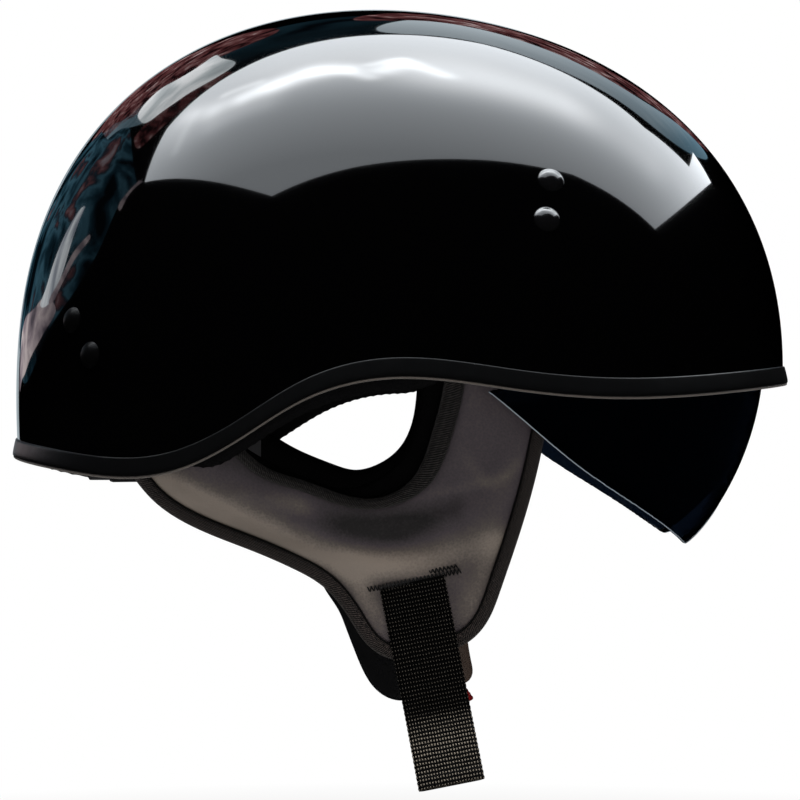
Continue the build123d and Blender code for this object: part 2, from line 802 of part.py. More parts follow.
crown_disc_radius = 24.0
petal_width = 24.0
petal_reach = 52.0
petal_circle = 40.0
with BuildPart() as crown_pad:
    with BuildSketch(Plane.XY.offset(60)):
        Circle(crown_disc_radius)
        with PolarLocations(petal_circle, 6):
            SlotCenterToCenter(petal_reach, petal_width)
    extrude(amount=80)
    add(pad_layer.part, mode=Mode.INTERSECT)
save(crown_pad.part, "crown_pad")

brow_wedge = ((20, 0), (90, 110), (160, 110), (160, -110), (90, -110))
brow_top = 44.0
with BuildPart() as brow_pad:
    with BuildSketch():
        with BuildLine():
            Polyline(*brow_wedge, close=True)
        make_face()
    extrude(amount=brow_top)
    add(pad_layer.part, mode=Mode.INTERSECT)
    add(rim_slab(foam_lift + 1.5), mode=Mode.INTERSECT)
save(brow_pad.part, "brow_pad")

side_pad_size = (78.0, 40.0, 14.0)
rear_pad_size = (104.0, 38.0, 14.0)
for hand, side in (("left", -1), ("right", 1)):
    with BuildPart() as side_pad:
        with BuildSketch(Plane.XZ):
            with Locations((-12, 40)):
                RectangleRounded(*side_pad_size)
        extrude(amount=side * 120)
        add(pad_layer.part, mode=Mode.INTERSECT)
    save(side_pad.part, "side_pad_" + hand)

with BuildPart() as rear_pad:
    with BuildSketch(Plane.YZ):
        with Locations((0, 34)):
            RectangleRounded(*rear_pad_size)
    extrude(amount=-120)
    add(pad_layer.part, mode=Mode.INTERSECT)
save(rear_pad.part, "rear_pad")

# Fit bands: each carries a rack on one edge of its slot, on opposite sides of the pinion
pitch_radius = gear_module * pinion_teeth / 2
tooth_pitch = pi * gear_module
tooth_thick = tooth_pitch / 2 - backlash / 2
flank = tan(radians(pressure_angle))
slot_half = pitch_radius + tooth_root


def rack_tooth(middle_radius, angle, up):
    """One rack tooth as a radial prism; up is 1 for a rack above the pinion."""
    turn = radians(angle)
    outward = Vector(-cos(turn), sin(turn), 0)
    along = Vector(-outward.Y, outward.X, 0)
    middle = Vector(fit_centre_x, 0, fit_height) + outward * middle_radius
    face = Plane(origin=middle, x_dir=along, z_dir=outward)
    tall = face.y_dir.Z * up
    with BuildPart() as tooth:
        with BuildSketch(face):
            with BuildLine():
                tip, root = tooth_thick / 2 - tooth_reach * flank, tooth_thick / 2 + tooth_root * flank
                near, far = tall * (pitch_radius - tooth_reach), tall * (slot_half + 0.5)
                Polyline((-tip, near), (tip, near), (root, tall * slot_half), (root, far),
                         (-root, far), (-root, tall * slot_half), (-tip, near))
            make_face()
        extrude(amount=3, both=True)
    return tooth.part


def fit_band(radii, side, up):
    """Curved band; side is 1 for the left hand, up is 1 when its rack lies above the pinion."""
    middle_radius = sum(radii) / 2
    pitch_angle = degrees(tooth_pitch / middle_radius)
    free_end, slot_end, slot_start, tip_end = 62.5, 13.5, -4.8, -8.5
    first = 0.0 if up == 1 else 0.5
    start, end = sorted((side * tip_end, side * free_end))
    with BuildPart() as band:
        add(fit_sector(*radii, start, end, band_low, band_high))
        slot = sorted((side * slot_start, side * slot_end))
        add(fit_sector(radii[0] - 1, radii[1] + 1, *slot, fit_height - slot_half, fit_height + slot_half),
            mode=Mode.SUBTRACT)
    with BuildPart() as teeth:
        for step in range(-1, 6):
            add(rack_tooth(middle_radius, side * (step + first) * pitch_angle, up))
        add(fit_sector(*radii, start, end, band_low, band_high), mode=Mode.INTERSECT)
    with BuildPart() as whole:
        add(band.part)
        add(teeth.part)
    return whole.part


save(fit_band(inner_band, 1, 1), "fit_band_left")
save(fit_band(outer_band, -1, -1), "fit_band_right")

# Dial pinion: nine involute teeth on a shaft that carries the knob
base_radius = pitch_radius * cos(radians(pressure_angle))
tip_radius = pitch_radius + tooth_reach
root_radius = pitch_radius - tooth_root + 0.1
shaft_radius = 3.0
shaft_start = fit_centre_x - band_radius + 2.0
pinion_start = fit_centre_x - band_radius + 0.1
pinion_end = fit_centre_x - outer_band[1] - 0.1


def half_angle(radius):
    """Half of a pinion tooth's angle at a radius, from the involute of its base circle."""
    slope = acos(min(base_radius / radius, 1))
    pitch_slope = radians(pressure_angle)
    return tooth_thick / 2 / pitch_radius + tan(pitch_slope) - pitch_slope - tan(slope) + slope


def flank_points(middle_turn, side):
    """Points of one flank from the root to the tip; side is 1 or -1."""
    foot_radius = base_radius - 1.2
    foot_turn = middle_turn + side * half_angle(base_radius)
    points = [(foot_radius * cos(foot_turn), foot_radius * sin(foot_turn))]
    for step in range(5):
        radius = base_radius + (tip_radius - base_radius) * step / 4
        turn = middle_turn + side * half_angle(radius)
        points.append((radius * cos(turn), radius * sin(turn)))
    return points


pinion_plane = Plane(origin=(pinion_end, 0, fit_height), x_dir=(0, 1, 0), z_dir=(1, 0, 0))
with BuildPart() as dial_pinion:
    with BuildSketch(pinion_plane):
        Circle(root_radius)
        for number in range(pinion_teeth):
            middle_turn = -pi / 2 + 2 * pi * number / pinion_teeth
            with BuildLine():
                right = flank_points(middle_turn, 1)
                left = flank_points(middle_turn, -1)
                Line(right[0], right[1])
                Spline(*right[1:])
                Line(right[-1], left[-1])
                Spline(*left[1:])
                Line(left[1], left[0])
                Line(left[0], right[0])
            make_face()
    extrude(amount=pinion_start - pinion_end)
    with BuildSketch(Plane.YZ.offset(shaft_start)):
        with Locations((0, fit_height)):
            Circle(shaft_radius)
    extrude(amount=knob_x - knob_thick + 2 - shaft_start)
save(dial_pinion.part, "dial_pinion")

# Dial knob: a scalloped grip pressed on the shaft
with BuildPart() as dial_knob:
    with BuildSketch(Plane.YZ.offset(knob_x)):
        with Locations((0, fit_height)):
            Circle(knob_radius)
            with PolarLocations(knob_radius + 1.2, 14):
                Circle(2.4, mode=Mode.SUBTRACT)
    extrude(amount=-knob_thick)
    fillet(dial_knob.faces().sort_by(Axis.X)[0].edges(), radius=0.9)
    with BuildSketch(Plane.YZ.offset(knob_x)):
        with Locations((0, fit_height)):
            Circle(shaft_radius)
    extrude(amount=-knob_thick + 2, mode=Mode.SUBTRACT)
save(dial_knob.part, "dial_knob")

# Adjuster housing and cover: a track for both bands and bearings for the shaft
housing_low = band_low - 0.3 - rail
housing_high = band_high + 0.3 + rail
with BuildPart() as adjuster_housing:
    add(fit_sector(housing_inner, housing_outer, -housing_half, housing_half, housing_low, housing_high))
    add(fit_sector(housing_inner - 1, housing_wall_start, -housing_half - 1, housing_half + 1,
                   band_low - 0.3, band_high + 0.3), mode=Mode.SUBTRACT)
    with BuildSketch(Plane.YZ.offset(knob_x - 1)):
        with Locations((0, fit_height)):
            Circle(shaft_radius + 0.05)
    extrude(amount=12, mode=Mode.SUBTRACT)
save(adjuster_housing.part, "adjuster_housing")

cover_wall = 2.1
hanger_foot_low, hanger_foot_high = 2.0, 11.0
with BuildPart() as adjuster_cover:
    add(fit_sector(housing_inner - cover_wall, housing_inner, -housing_half, housing_half,
                   housing_low, housing_high))
    add(fit_sector(housing_inner - cover_wall, housing_inner, -6, 6, housing_high, hanger_foot_high))
    add(fit_sector(housing_inner, 100, -6, 6, hanger_foot_low, hanger_foot_high))
    add(foam_inner_dome, mode=Mode.INTERSECT)
    with BuildSketch(Plane.YZ.offset(knob_x)):
        with Locations((0, fit_height)):
            Circle(shaft_radius + 0.05)
    extrude(amount=20, mode=Mode.SUBTRACT)
save(adjuster_cover.part, "adjuster_cover")
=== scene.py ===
import math

import bmesh
import bpy
import numpy as np
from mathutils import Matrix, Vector, geometry


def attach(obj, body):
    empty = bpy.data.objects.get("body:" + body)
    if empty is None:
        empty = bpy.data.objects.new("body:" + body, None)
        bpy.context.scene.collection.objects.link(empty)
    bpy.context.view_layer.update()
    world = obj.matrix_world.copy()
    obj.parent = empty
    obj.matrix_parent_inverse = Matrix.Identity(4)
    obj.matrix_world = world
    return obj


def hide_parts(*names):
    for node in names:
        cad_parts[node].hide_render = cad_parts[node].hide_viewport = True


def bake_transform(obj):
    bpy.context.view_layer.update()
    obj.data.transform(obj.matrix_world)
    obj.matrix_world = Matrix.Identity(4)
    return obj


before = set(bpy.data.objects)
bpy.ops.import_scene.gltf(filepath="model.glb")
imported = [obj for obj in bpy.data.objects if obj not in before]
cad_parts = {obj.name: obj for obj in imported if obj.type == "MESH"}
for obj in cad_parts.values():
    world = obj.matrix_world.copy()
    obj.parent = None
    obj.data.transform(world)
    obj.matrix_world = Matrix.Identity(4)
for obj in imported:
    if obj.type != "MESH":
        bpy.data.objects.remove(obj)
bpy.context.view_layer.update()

# Camera: level with the rim and square to the helmet's right side, at the distance
# that gives the near and the far edges of the shell their sizes against each other.
scene = bpy.context.scene
camera_distance = 0.78
sensor_width = 36.0
image_side = 800
pixels_per_metre = 2760
camera = bpy.data.objects.new("camera", bpy.data.cameras.new("camera"))
scene.collection.objects.link(camera)
camera.location = (0, -camera_distance, 0)
camera.rotation_euler = (math.pi / 2, 0, 0)
camera.data.sensor_width = sensor_width
camera.data.lens = sensor_width * pixels_per_metre * camera_distance / image_side
scene.camera = camera
scene.view_settings.view_transform = "Standard"

# Outer shell: one moulded skin of 3.5 mm, in high gloss black lacquer over a smooth
# form that is fullest at the back. Its rim dips behind the ear and arches over it.
dome_side_terms = (166.5, -11.6, -26.9, -29.9, 4.5, 11.4, 31.9)
dome_plan_terms = (-54.5, 6.0, 22.0, 31.0, -21.0)
shell_wall = 3.5
rim_points = (
    (-146, -17.5), (-110, -21.8), (-88, -23.6), (-72, -21.5), (-53, -13.0), (-32, 0.0),
    (0, 8.0), (37, 4.2), (67, 1.8), (105, 3.5), (146, 7.8),
)
shell_turns = 288
shell_rows = 110


def shell_radius(way):
    """Distance in mm from the origin to the shell's outer face along unit vectors."""
    x, y, z = way[..., 0], way[..., 1], way[..., 2]
    one, tx, tz, txx, txz, txxx, txxz = dome_side_terms
    side_view = one + tx * x + tz * z + txx * x**2 + txz * x * z + txxx * x**3 + txxz * x**2 * z
    one, tx, txx, tz, tzz = dome_plan_terms
    return side_view + (one + tx * x + txx * x**2 + tz * z + tzz * z**2) * y**2


def natural_spline(knots, values):
    """Second derivatives of a natural cubic spline through values at knots."""
    knots, values = np.asarray(knots, float), np.asarray(values, float)
    steps = np.diff(knots)
    count = len(knots)
    system = np.eye(count)
    right = np.zeros_like(values)
    slopes = np.diff(values, axis=0) / steps.reshape(-1, *[1] * (values.ndim - 1))
    for row in range(1, count - 1):
        system[row, row - 1:row + 2] = steps[row - 1], 2 * (steps[row - 1] + steps[row]), steps[row]
        right[row] = 6 * (slopes[row] - slopes[row - 1])
    return np.linalg.solve(system, right)


def spline_at(knots, values, bends, places):
    """Values of that spline at places; past its ends it runs on straight."""
    knots, values = np.asarray(knots, float), np.asarray(values, float)
    inside = np.clip(places, knots[0], knots[-1])
    span = np.clip(np.searchsorted(knots, inside, side="right") - 1, 0, len(knots) - 2)
    width = knots[span + 1] - knots[span]
    near, far = (knots[span + 1] - inside) / width, (inside - knots[span]) / width
    if values.ndim > 1:
        near, far, width = near[..., None], far[..., None], width[..., None]
    curve = (near**3 - near) * bends[span] + (far**3 - far) * bends[span + 1]
    return near * values[span] + far * values[span + 1] + curve * width**2 / 6


rim_x, rim_z = np.array(rim_points, float).T
rim_bends = natural_spline(rim_x, rim_z)


def rim_height(x):
    return spline_at(rim_x, rim_z, rim_bends, x)


def skin(tilt, turn, depth):
    """Points at a depth in mm below the outer face, in the ways given by tilt and turn."""
    tilt, turn = np.broadcast_arrays(tilt, turn)
    way = np.stack([np.sin(tilt) * np.cos(turn), np.sin(tilt) * np.sin(turn), np.cos(tilt)], -1)
    return way * (shell_radius(way) - depth)[..., None]


def first_past(low, high, past):
    """Where, between bounds, a test on places turns true."""
    for _ in range(40):
        middle = (low + high) / 2
        there = past(middle)
        low, high = np.where(there, low, middle), np.where(there, middle, high)
    return (low + high) / 2


def tilt_at_rim(turn, depth, rise):
    """Tilt at which the skin at a depth lies a rise above the rim line."""
    def below(tilt):
        spot = skin(tilt, turn, depth)
        return spot[..., 2] <= rim_height(spot[..., 0]) + rise
    return first_past(np.zeros_like(turn), np.full_like(turn, 0.75 * math.pi), below)


def ring_skin(rings, ends="cap"):
    """Points and faces of a skin over rings of equally many points; ends join or are capped."""
    count, size = len(rings), len(rings[0])
    faces = []
    for ring in range(count if ends == "join" else count - 1):
        here, there = ring * size, (ring + 1) % count * size
        for spot in range(size):
            after = (spot + 1) % size
            faces.append((here + spot, here + after, there + after, there + spot))
    if ends == "cap":
        faces.append(tuple(range(size))[::-1])
        faces.append(tuple(range((count - 1) * size, count * size)))
    return np.concatenate(rings), faces


def new_piece(name, points, faces, finish, slot):
    """Smooth closed mesh piece from points in mm, with its faces turned outwards."""
    mesh = bpy.data.meshes.new(name)
    mesh.from_pydata((np.asarray(points) / 1000).tolist(), [], faces)
    mesh.validate()
    mesh.shade_smooth()
    mesh.materials.append(finish)
    work = bmesh.new()
    work.from_mesh(mesh)
    bmesh.ops.recalc_face_normals(work, faces=work.faces)
    work.to_mesh(mesh)
    work.free()
    piece = bpy.data.objects.new(name, mesh)
    scene.collection.objects.link(piece)
    return piece


def new_material(name, **sockets):
    """New material whose Principled BSDF has these socket values."""
    finish = bpy.data.materials.new(name)
    finish.use_nodes = True
    shader = finish.node_tree.nodes["Principled BSDF"]
    for socket, value in sockets.items():
        shader.inputs[socket.replace("_", " ")].default_value = value
    return finish


def add_node(tree, kind, inputs, **settings):
    """Adds a node, sets it, and links or sets its inputs."""
    made = tree.nodes.new("ShaderNode" + kind)
    for name, value in settings.items():
        setattr(made, name, value)
    for key, value in inputs.items():
        if isinstance(value, bpy.types.NodeSocket):
            tree.links.new(value, made.inputs[key])
        else:
            made.inputs[key].default_value = value
    return made


def maths(tree, operation, *values):
    return add_node(tree, "Math", dict(enumerate(values)), operation=operation).outputs[0]


def ranged(tree, value, low, high, to_low=0.0, to_high=1.0):
    """Value brought from one range to another."""
    limits = {"From Min": low, "From Max": high, "To Min": to_low, "To Max": to_high}
    return add_node(tree, "MapRange", {"Value": value, **limits}).outputs[0]


def noise(tree, place, scale, detail, **more):
    return add_node(tree, "TexNoise", {"Vector": place, "Scale": scale, "Detail": detail, **more}).outputs[0]


def bump_normal(tree, height, distance, strength=1.0, **more):
    inputs = {"Strength": strength, "Distance": distance, "Height": height, **more}
    return add_node(tree, "Bump", inputs).outputs[0]


def object_place(tree):
    return tree.nodes.new("ShaderNodeTexCoord").outputs["Object"]


def new_group(name, numbers, colors, outputs):
    """Shader node group whose inputs are numbers, with what they hold at first, and colours."""
    group = bpy.data.node_groups.new(name, "ShaderNodeTree")

    def socket(label, direction, kind):
        return group.interface.new_socket(label, in_out=direction, socket_type="NodeSocket" + kind)
    for label in colors:
        socket(label, "INPUT", "Color")
    for label, value in numbers.items():
        socket(label, "INPUT", "Float").default_value = value
    for label, kind in outputs.items():
        socket(label, "OUTPUT", kind)
    return group, group.nodes.new("NodeGroupInput").outputs, group.nodes.new("NodeGroupOutput").inputs


mottle, taken, given = new_group(
    "mottle", {"Variation": 0.2, "Scale": 60.0, "Roughness": 0.5, "Roughness Variation": 0.1}, ("Color",),
    {"Color": "Color", "Roughness": "Float"},
)
cloud = noise(mottle, object_place(mottle), taken["Scale"], 6.0, Roughness=0.6)
centred = maths(mottle, "SUBTRACT", cloud, 0.5)
value = maths(mottle, "MULTIPLY_ADD", centred, taken["Variation"], 1.0)
shaded = add_node(mottle, "HueSaturation", {"Value": value, "Color": taken["Color"]}).outputs[0]
rough = maths(mottle, "MULTIPLY_ADD", centred, taken["Roughness Variation"], taken["Roughness"])
mottle.links.new(shaded, given["Color"])
mottle.links.new(rough, given["Roughness"])

ripple, taken, given = new_group(
    "ripple", {"Scale": 100.0, "Detail": 2.0, "Distance": 0.0001}, (), {"Normal": "Vector"},
)
cloud = noise(ripple, object_place(ripple), taken["Scale"], taken["Detail"])
ripple.links.new(bump_normal(ripple, cloud, taken["Distance"]), given["Normal"])


def feed_shader(finish, group, values):
    """Places a node group with its own values and links its outputs to the shader."""
    tree = finish.node_tree
    for output in add_node(tree, "Group", values, node_tree=group).outputs:
        socket = "Base Color" if output.name == "Color" else output.name
        tree.links.new(output, tree.nodes["Principled BSDF"].inputs[socket])


def finished(name, color, variation, scale, roughness, spread, bump=None, **sockets):
    """Material with clouded tone and roughness; bump is scale, detail and distance."""
    finish = new_material(name, **sockets)
    feed_shader(finish, mottle, {"Color": (*color, 1), "Variation": variation, "Scale": scale,
                                 "Roughness": roughness, "Roughness Variation": spread})
    if bump:
        feed_shader(finish, ripple, dict(zip(("Scale", "Detail", "Distance"), bump)))
    return finish


shell_finish = finished("shell_lacquer", (0.0004, 0.0004, 0.0005), 0.3, 40, 0.06, 0.04, (55, 1.0, 0.00002),
                        Coat_Weight=1.0, Coat_Roughness=0.012, IOR=1.5)


def circle(count):
    return np.linspace(0, 2 * math.pi, count, endpoint=False)


turns = circle(shell_turns)
crown_share = 0.004
shares = np.linspace(crown_share, 1, shell_rows)
outer_rings = [skin(share * tilt_at_rim(turns, 0.0, 0.0), turns, 0.0) for share in shares]
inner_rings = [skin(share * tilt_at_rim(turns, shell_wall, 0.0), turns, shell_wall) for share in shares[::-1]]
outer_shell = new_piece("shell_skin", *ring_skin(outer_rings + inner_rings), shell_finish, "shell_gloss")
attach(outer_shell, "root")
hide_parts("outer_shell")

# Edge trim: an extruded rubber channel pressed over the rim all round. It is thin at
# its upper lip and thickest near the bottom, where a fine pale cord below it paints the highlight of its
# rounded underside.
trim_section = (
    (-0.05, 5.3), (-0.35, 5.27), (-0.58, 5.1), (-0.68, 4.8), (-0.85, 4.2), (-1.15, 3.0), (-1.48, 1.7),
    (-1.72, 0.6), (-1.8, -0.1), (-1.76, -0.45), (-1.55, -0.68), (-1.0, -0.75), (0.0, -1.0), (0.6, -1.4),
    (1.8, -1.5), (3.6, -1.5), (4.7, -1.3), (5.2, -0.8), (5.3, 0.3), (5.3, 4.2), (5.1, 4.9), (4.6, 5.25),
    (3.55, 5.3), (3.55, 0.05), (-0.05, 0.05),
)
trim_finish = finished("trim_rubber", (0.0014, 0.0015, 0.0018), 0.35, 220, 0.32, 0.12, (2600, 3.0, 0.00003))
sections = np.stack([skin(tilt_at_rim(turns, depth, rise), turns, depth) for depth, rise in trim_section], 1)
edge_trim = new_piece("rim_trim", *ring_skin(list(sections), "join"), trim_finish, "trim_rubber")
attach(edge_trim, "root")
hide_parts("edge_trim")

# The pale cord paints the highlight along the trim's rounded underside.
highlight_cord_radius = 0.42
highlight_cord_turns = circle(720)
highlight_cord_finish = finished("trim_edge_painted_highlight", (0.085, 0.074, 0.066), 0.5, 500, 0.7, 0.2, (2200, 3.0, 0.00012),
                         Sheen_Weight=0.2)
spots = []
for way in circle(8):
    depth, rise = -1.2 - highlight_cord_radius * math.cos(way), -1.06 + highlight_cord_radius * math.sin(way)
    spots.append(skin(tilt_at_rim(highlight_cord_turns, depth, rise), highlight_cord_turns, depth))
highlight_cord = new_piece("rim_highlight_cord", *ring_skin(list(np.stack(spots, 1)), "join"), highlight_cord_finish,
                   "comfort_fabric")
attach(highlight_cord, "root")

# Rivets: domed steel heads in black enamel, two at each temple and two behind each
# ear. Their shanks go through shell and plate and are peened over inside.
rivet_spots = {"front": ((48.2, 70.2), (46.5, 57.2)), "rear": ((-106.7, 26.0), (-99.7, 14.5))}
rivet_head_radius = 4.35
rivet_head_height = 2.3
rivet_tail = ((2.0, -0.1), (2.0, -6.0), (3.2, -6.0), (3.2, -7.0), (2.6, -7.4), (0.05, -7.4))
rivet_finish = finished("rivet_enamel", (0.002, 0.002, 0.0024), 0.3, 300, 0.22, 0.1, (900, 2.0, 0.00002),
                        Coat_Weight=1.0, Coat_Roughness=0.05)
# A darker copy of the enamel, with little gloss, paints the rear rivets as shaded, without the highlights
# they would catch.
shaded_rivet_finish = finished("rivet_enamel_painted_shade", (0.001, 0.001, 0.0012), 0.3, 300, 0.4, 0.1, (900, 2.0, 0.00002),
                       Specular_IOR_Level=0.08, Coat_Weight=0.06, Coat_Roughness=0.12)
rivet_finishes = {"front": rivet_finish, "rear": shaded_rivet_finish}


def outer_level(spot):
    """Height in mm of points above the shell's outer face, along the way from the origin."""
    reach = np.linalg.norm(spot, axis=-1)
    return reach - shell_radius(spot / reach[..., None])


def skin_point(x, z, side):
    """Point of the shell's outer face over a place in the side view."""
    y = first_past(0.0, 160.0, lambda aside: outer_level(np.array([x, aside, z])) >= 0)
    return np.array([x, side * y, z])


def unit(ways):
    return ways / np.linalg.norm(ways, axis=-1, keepdims=True)


def skin_normal(spot):
    step = np.eye(3) * 0.01
    slope = np.array([outer_level(spot + way) - outer_level(spot - way) for way in step])
    return unit(slope)


def turned_rings(profile, centre, axis, count=40):
    """Rings of a turned form from radius and height pairs about an axis."""
    axis = np.asarray(axis, float)
    side = np.cross(axis, (0, 0, 1.0) if abs(axis[2]) < 0.9 else (1.0, 0, 0))
    side = unit(side)
    other = np.cross(axis, side)
    around = circle(count)[:, None]
    spoke = np.cos(around) * side + np.sin(around) * other
    return [centre + axis * height + spoke * radius for radius, height in profile]


def several(skins):
    """Points and faces of several skins as one piece."""
    points, faces, start = [], [], 0
    for some_points, some_faces in skins:
        points.append(some_points)
        faces += [tuple(start + spot for spot in face) for face in some_faces]
        start += len(some_points)
    return np.concatenate(points), faces


cap_radius = (rivet_head_radius**2 + rivet_head_height**2) / (2 * rivet_head_height)
cap_turns = np.linspace(0.02, math.asin(rivet_head_radius / cap_radius), 12)
rivet_profile = [(cap_radius * math.sin(turn), rivet_head_height - cap_radius * (1 - math.cos(turn)))
                 for turn in cap_turns]
rivet_profile += [(rivet_head_radius, -0.1), *rivet_tail]
for place, spots in rivet_spots.items():
    heads = []
    for x, z in spots:
        for side in (1, -1):
            centre = skin_point(x, z, side)
            heads.append(ring_skin(turned_rings(rivet_profile, centre, skin_normal(centre))))
    rivets = new_piece("rivet_heads_" + place, *several(heads), rivet_finishes[place], "rivet_steel")
    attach(rivets, "root")
    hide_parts("rivets_" + place)


def both(*names):
    return [name + hand for name in names for hand in ("_left", "_right")]


def dress(finish, *nodes):
    """Gives CAD nodes a finish and smooth shading, with their edges kept."""
    for name in nodes:
        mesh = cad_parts[name].data
        mesh.materials.clear()
        mesh.materials.append(finish)
        mesh.shade_smooth()
        mesh.set_sharp_from_angle(angle=math.radians(32))


# Anchor plates: pressed and zinc plated steel, held under the shell by the rivets.
# The webbing inside each ear panel loops over them.
plate_finish = finished("plate_zinc", (0.42, 0.42, 0.4), 0.4, 90, 0.38, 0.2, (700, 3.0, 0.00004),
                        Metallic=1.0)
dress(plate_finish, *both("anchor_plate_front", "anchor_plate_rear"))

# Ear panels: soft imitation leather over a thin foam, cut Y-shaped and bowed round the
# head. They are drawn in the side view, like the pattern they are cut from, and hang
# from the rear rivets and the front ones.
panel_crest_y, panel_crest_x = 99.5, -18.0
panel_bow, panel_lean = 370.0, 0.125
panel_lift = 13.0
panel_edge = (
    (-86.5, -25), (-80.7, -31.7), (-64.9, -41.6), (-47, -48.5), (-33.8, -54.2), (-25, -59.4),
    (-16.2, -70.1), (-10.1, -79), (-2, -83.5), (10, -82), (20.8, -79), (27.1, -73.4), (32.4, -61.8),
    (39.5, -40.5), (46, -14.8), (50.5, 22),
)
panel_corners = ((-93, 22), (-93, -6))
opening_edge = (
    (-72, 4), (-51.1, -14.6), (-44.1, -20.7), (-30.1, -25.9), (-16.1, -30.7), (-7.4, -31.2),
    (3.1, -26), (10.1, -11.1), (13.5, 2), (15.5, 26),
)
opening_corner = ((-72, 26),)
binding_width = 4.2
panel_skin = 2.6
# Painted light and shade on the leather: soft strokes, each a path, a width and how much lighter or darker
# the leather turns along it; the dark stroke under the collar paints the rim's shadow.
painted_panel_light = (
    (((-80, -25), (-58, -37), (-40, -44), (-22, -50.5), (-2, -52), (14, -49), (31, -45)), 5.6,
     (0.5, 0.85, 0.66, 0.55, 0.5, 0.34, 0.3)),
    (((-32, -38), (-17, -40), (0, -40.5), (16, -36)), 4.8, (-0.1, -0.36, -0.52, -0.2)),
    (((-40, -31), (-31, -34.5), (-24, -39)), 2.6, (0.1, 0.26, 0.0)),
    (((-16, -55), (-11, -63), (-7, -74)), 4.2, (0.3, 0.26, 0.12)),
    (((31, -46), (27, -57), (21, -70)), 4.2, (0.2, 0.22, 0.16)),
    (((20, -16), (30, -27), (38, -20)), 1.8, (0.04, 0.14, 0.12)),
    (((4, -31), (20, -28), (35, -24)), 1.5, (0.08, 0.12, 0.08)),
    (((-56, -19), (-46, -23), (-38, -27)), 3.6, (-0.16, -0.14, -0.1)),
)
panel_folds = (
    ((-60, -34), (-20, -46), 3.4, -1.15), ((-22, -43.5), (21, -44), 3.8, -1.35),
    ((-57, -29), (-36, -35), 2.3, 0.55), ((-72, -37), (-34, -52), 2.6, 0.65),
    ((-30, -55), (24, -55.5), 3.6, 0.6), ((9, -40), (26, -31), 2.5, 0.75), ((25, -50), (39, -24), 3.0, 0.7),
    ((14, -22), (24, -46), 2.6, -0.5), ((33, -4), (28, -30), 3.4, -0.28),
    ((-80, -27), (-62, -33), 2.2, 0.5), ((-18, -63), (-9, -74), 2.0, 0.4),
    ((19, -58), (23, -73), 2.4, 0.45), ((-44, -33), (-30, -46), 2.0, -0.45),
    ((27, -62), (36, -40), 2.2, -0.35),
)


def run_length(points):
    steps = np.linalg.norm(np.diff(points, axis=0), axis=1)
    return np.concatenate([[0], np.cumsum(steps)])


def smooth_curve(points, count):
    """Evenly spaced points of a natural spline through some points."""
    points = np.asarray(points, float)
    chords = run_length(points)
    bends = natural_spline(chords, points)
    fine = spline_at(chords, points, bends, np.linspace(0, chords[-1], 40 * len(points)))
    lengths = run_length(fine)
    even = np.linspace(0, lengths[-1], count)
    return np.stack([np.interp(even, lengths, fine[:, axis]) for axis in range(points.shape[1])], 1)


def on_panel(spots, depth, side):
    """Points at a depth in mm below a panel's outer face, over places in the side view."""
    x, z = spots[:, 0], spots[:, 1]
    y = panel_crest_y + panel_lean * (z - 10) - (x - panel_crest_x) ** 2 / panel_bow - depth
    return np.stack([x, side * y, z], 1)


def beside(curve, aside):
    """Curve moved to the left of its run."""
    run = unit(np.gradient(curve, axis=0))
    return curve + np.stack([-run[:, 1], run[:, 0]], 1) * np.asarray(aside).reshape(-1, 1)


def closed_by(curve, corners):
    """Polygon of a curve and its corners, with points every couple of millimetres."""
    ends = np.array([curve[-1], *corners, curve[0]], float)
    sides = [np.linspace(a, b, max(2, int(np.linalg.norm(b - a) / 2)))[1:-1] for a, b in zip(ends, ends[1:])]
    pieces = [curve]
    for corner, side in zip([*corners, None], sides):
        pieces.append(side)
        if corner is not None:
            pieces.append(np.array([corner], float))
    return np.concatenate(pieces)


def within_outline(spots, polygon):
    """Which places lie inside a polygon."""
    x, z = spots[:, 0, None], spots[:, 1, None]
    xa, za = polygon[:, 0], polygon[:, 1]
    xb, zb = np.roll(xa, -1), np.roll(za, -1)
    spans = (za > z) != (zb > z)
    with np.errstate(divide="ignore", invalid="ignore"):
        crossing = x < (xb - xa) * (z - za) / (zb - za) + xa
    return (spans & crossing).sum(1) % 2 == 1


def hangs(curve):
    """Which points of a curve lie no deeper in the shell than the panel reaches."""
    return curve[:, 1] < rim_height(curve[:, 0]) + panel_lift


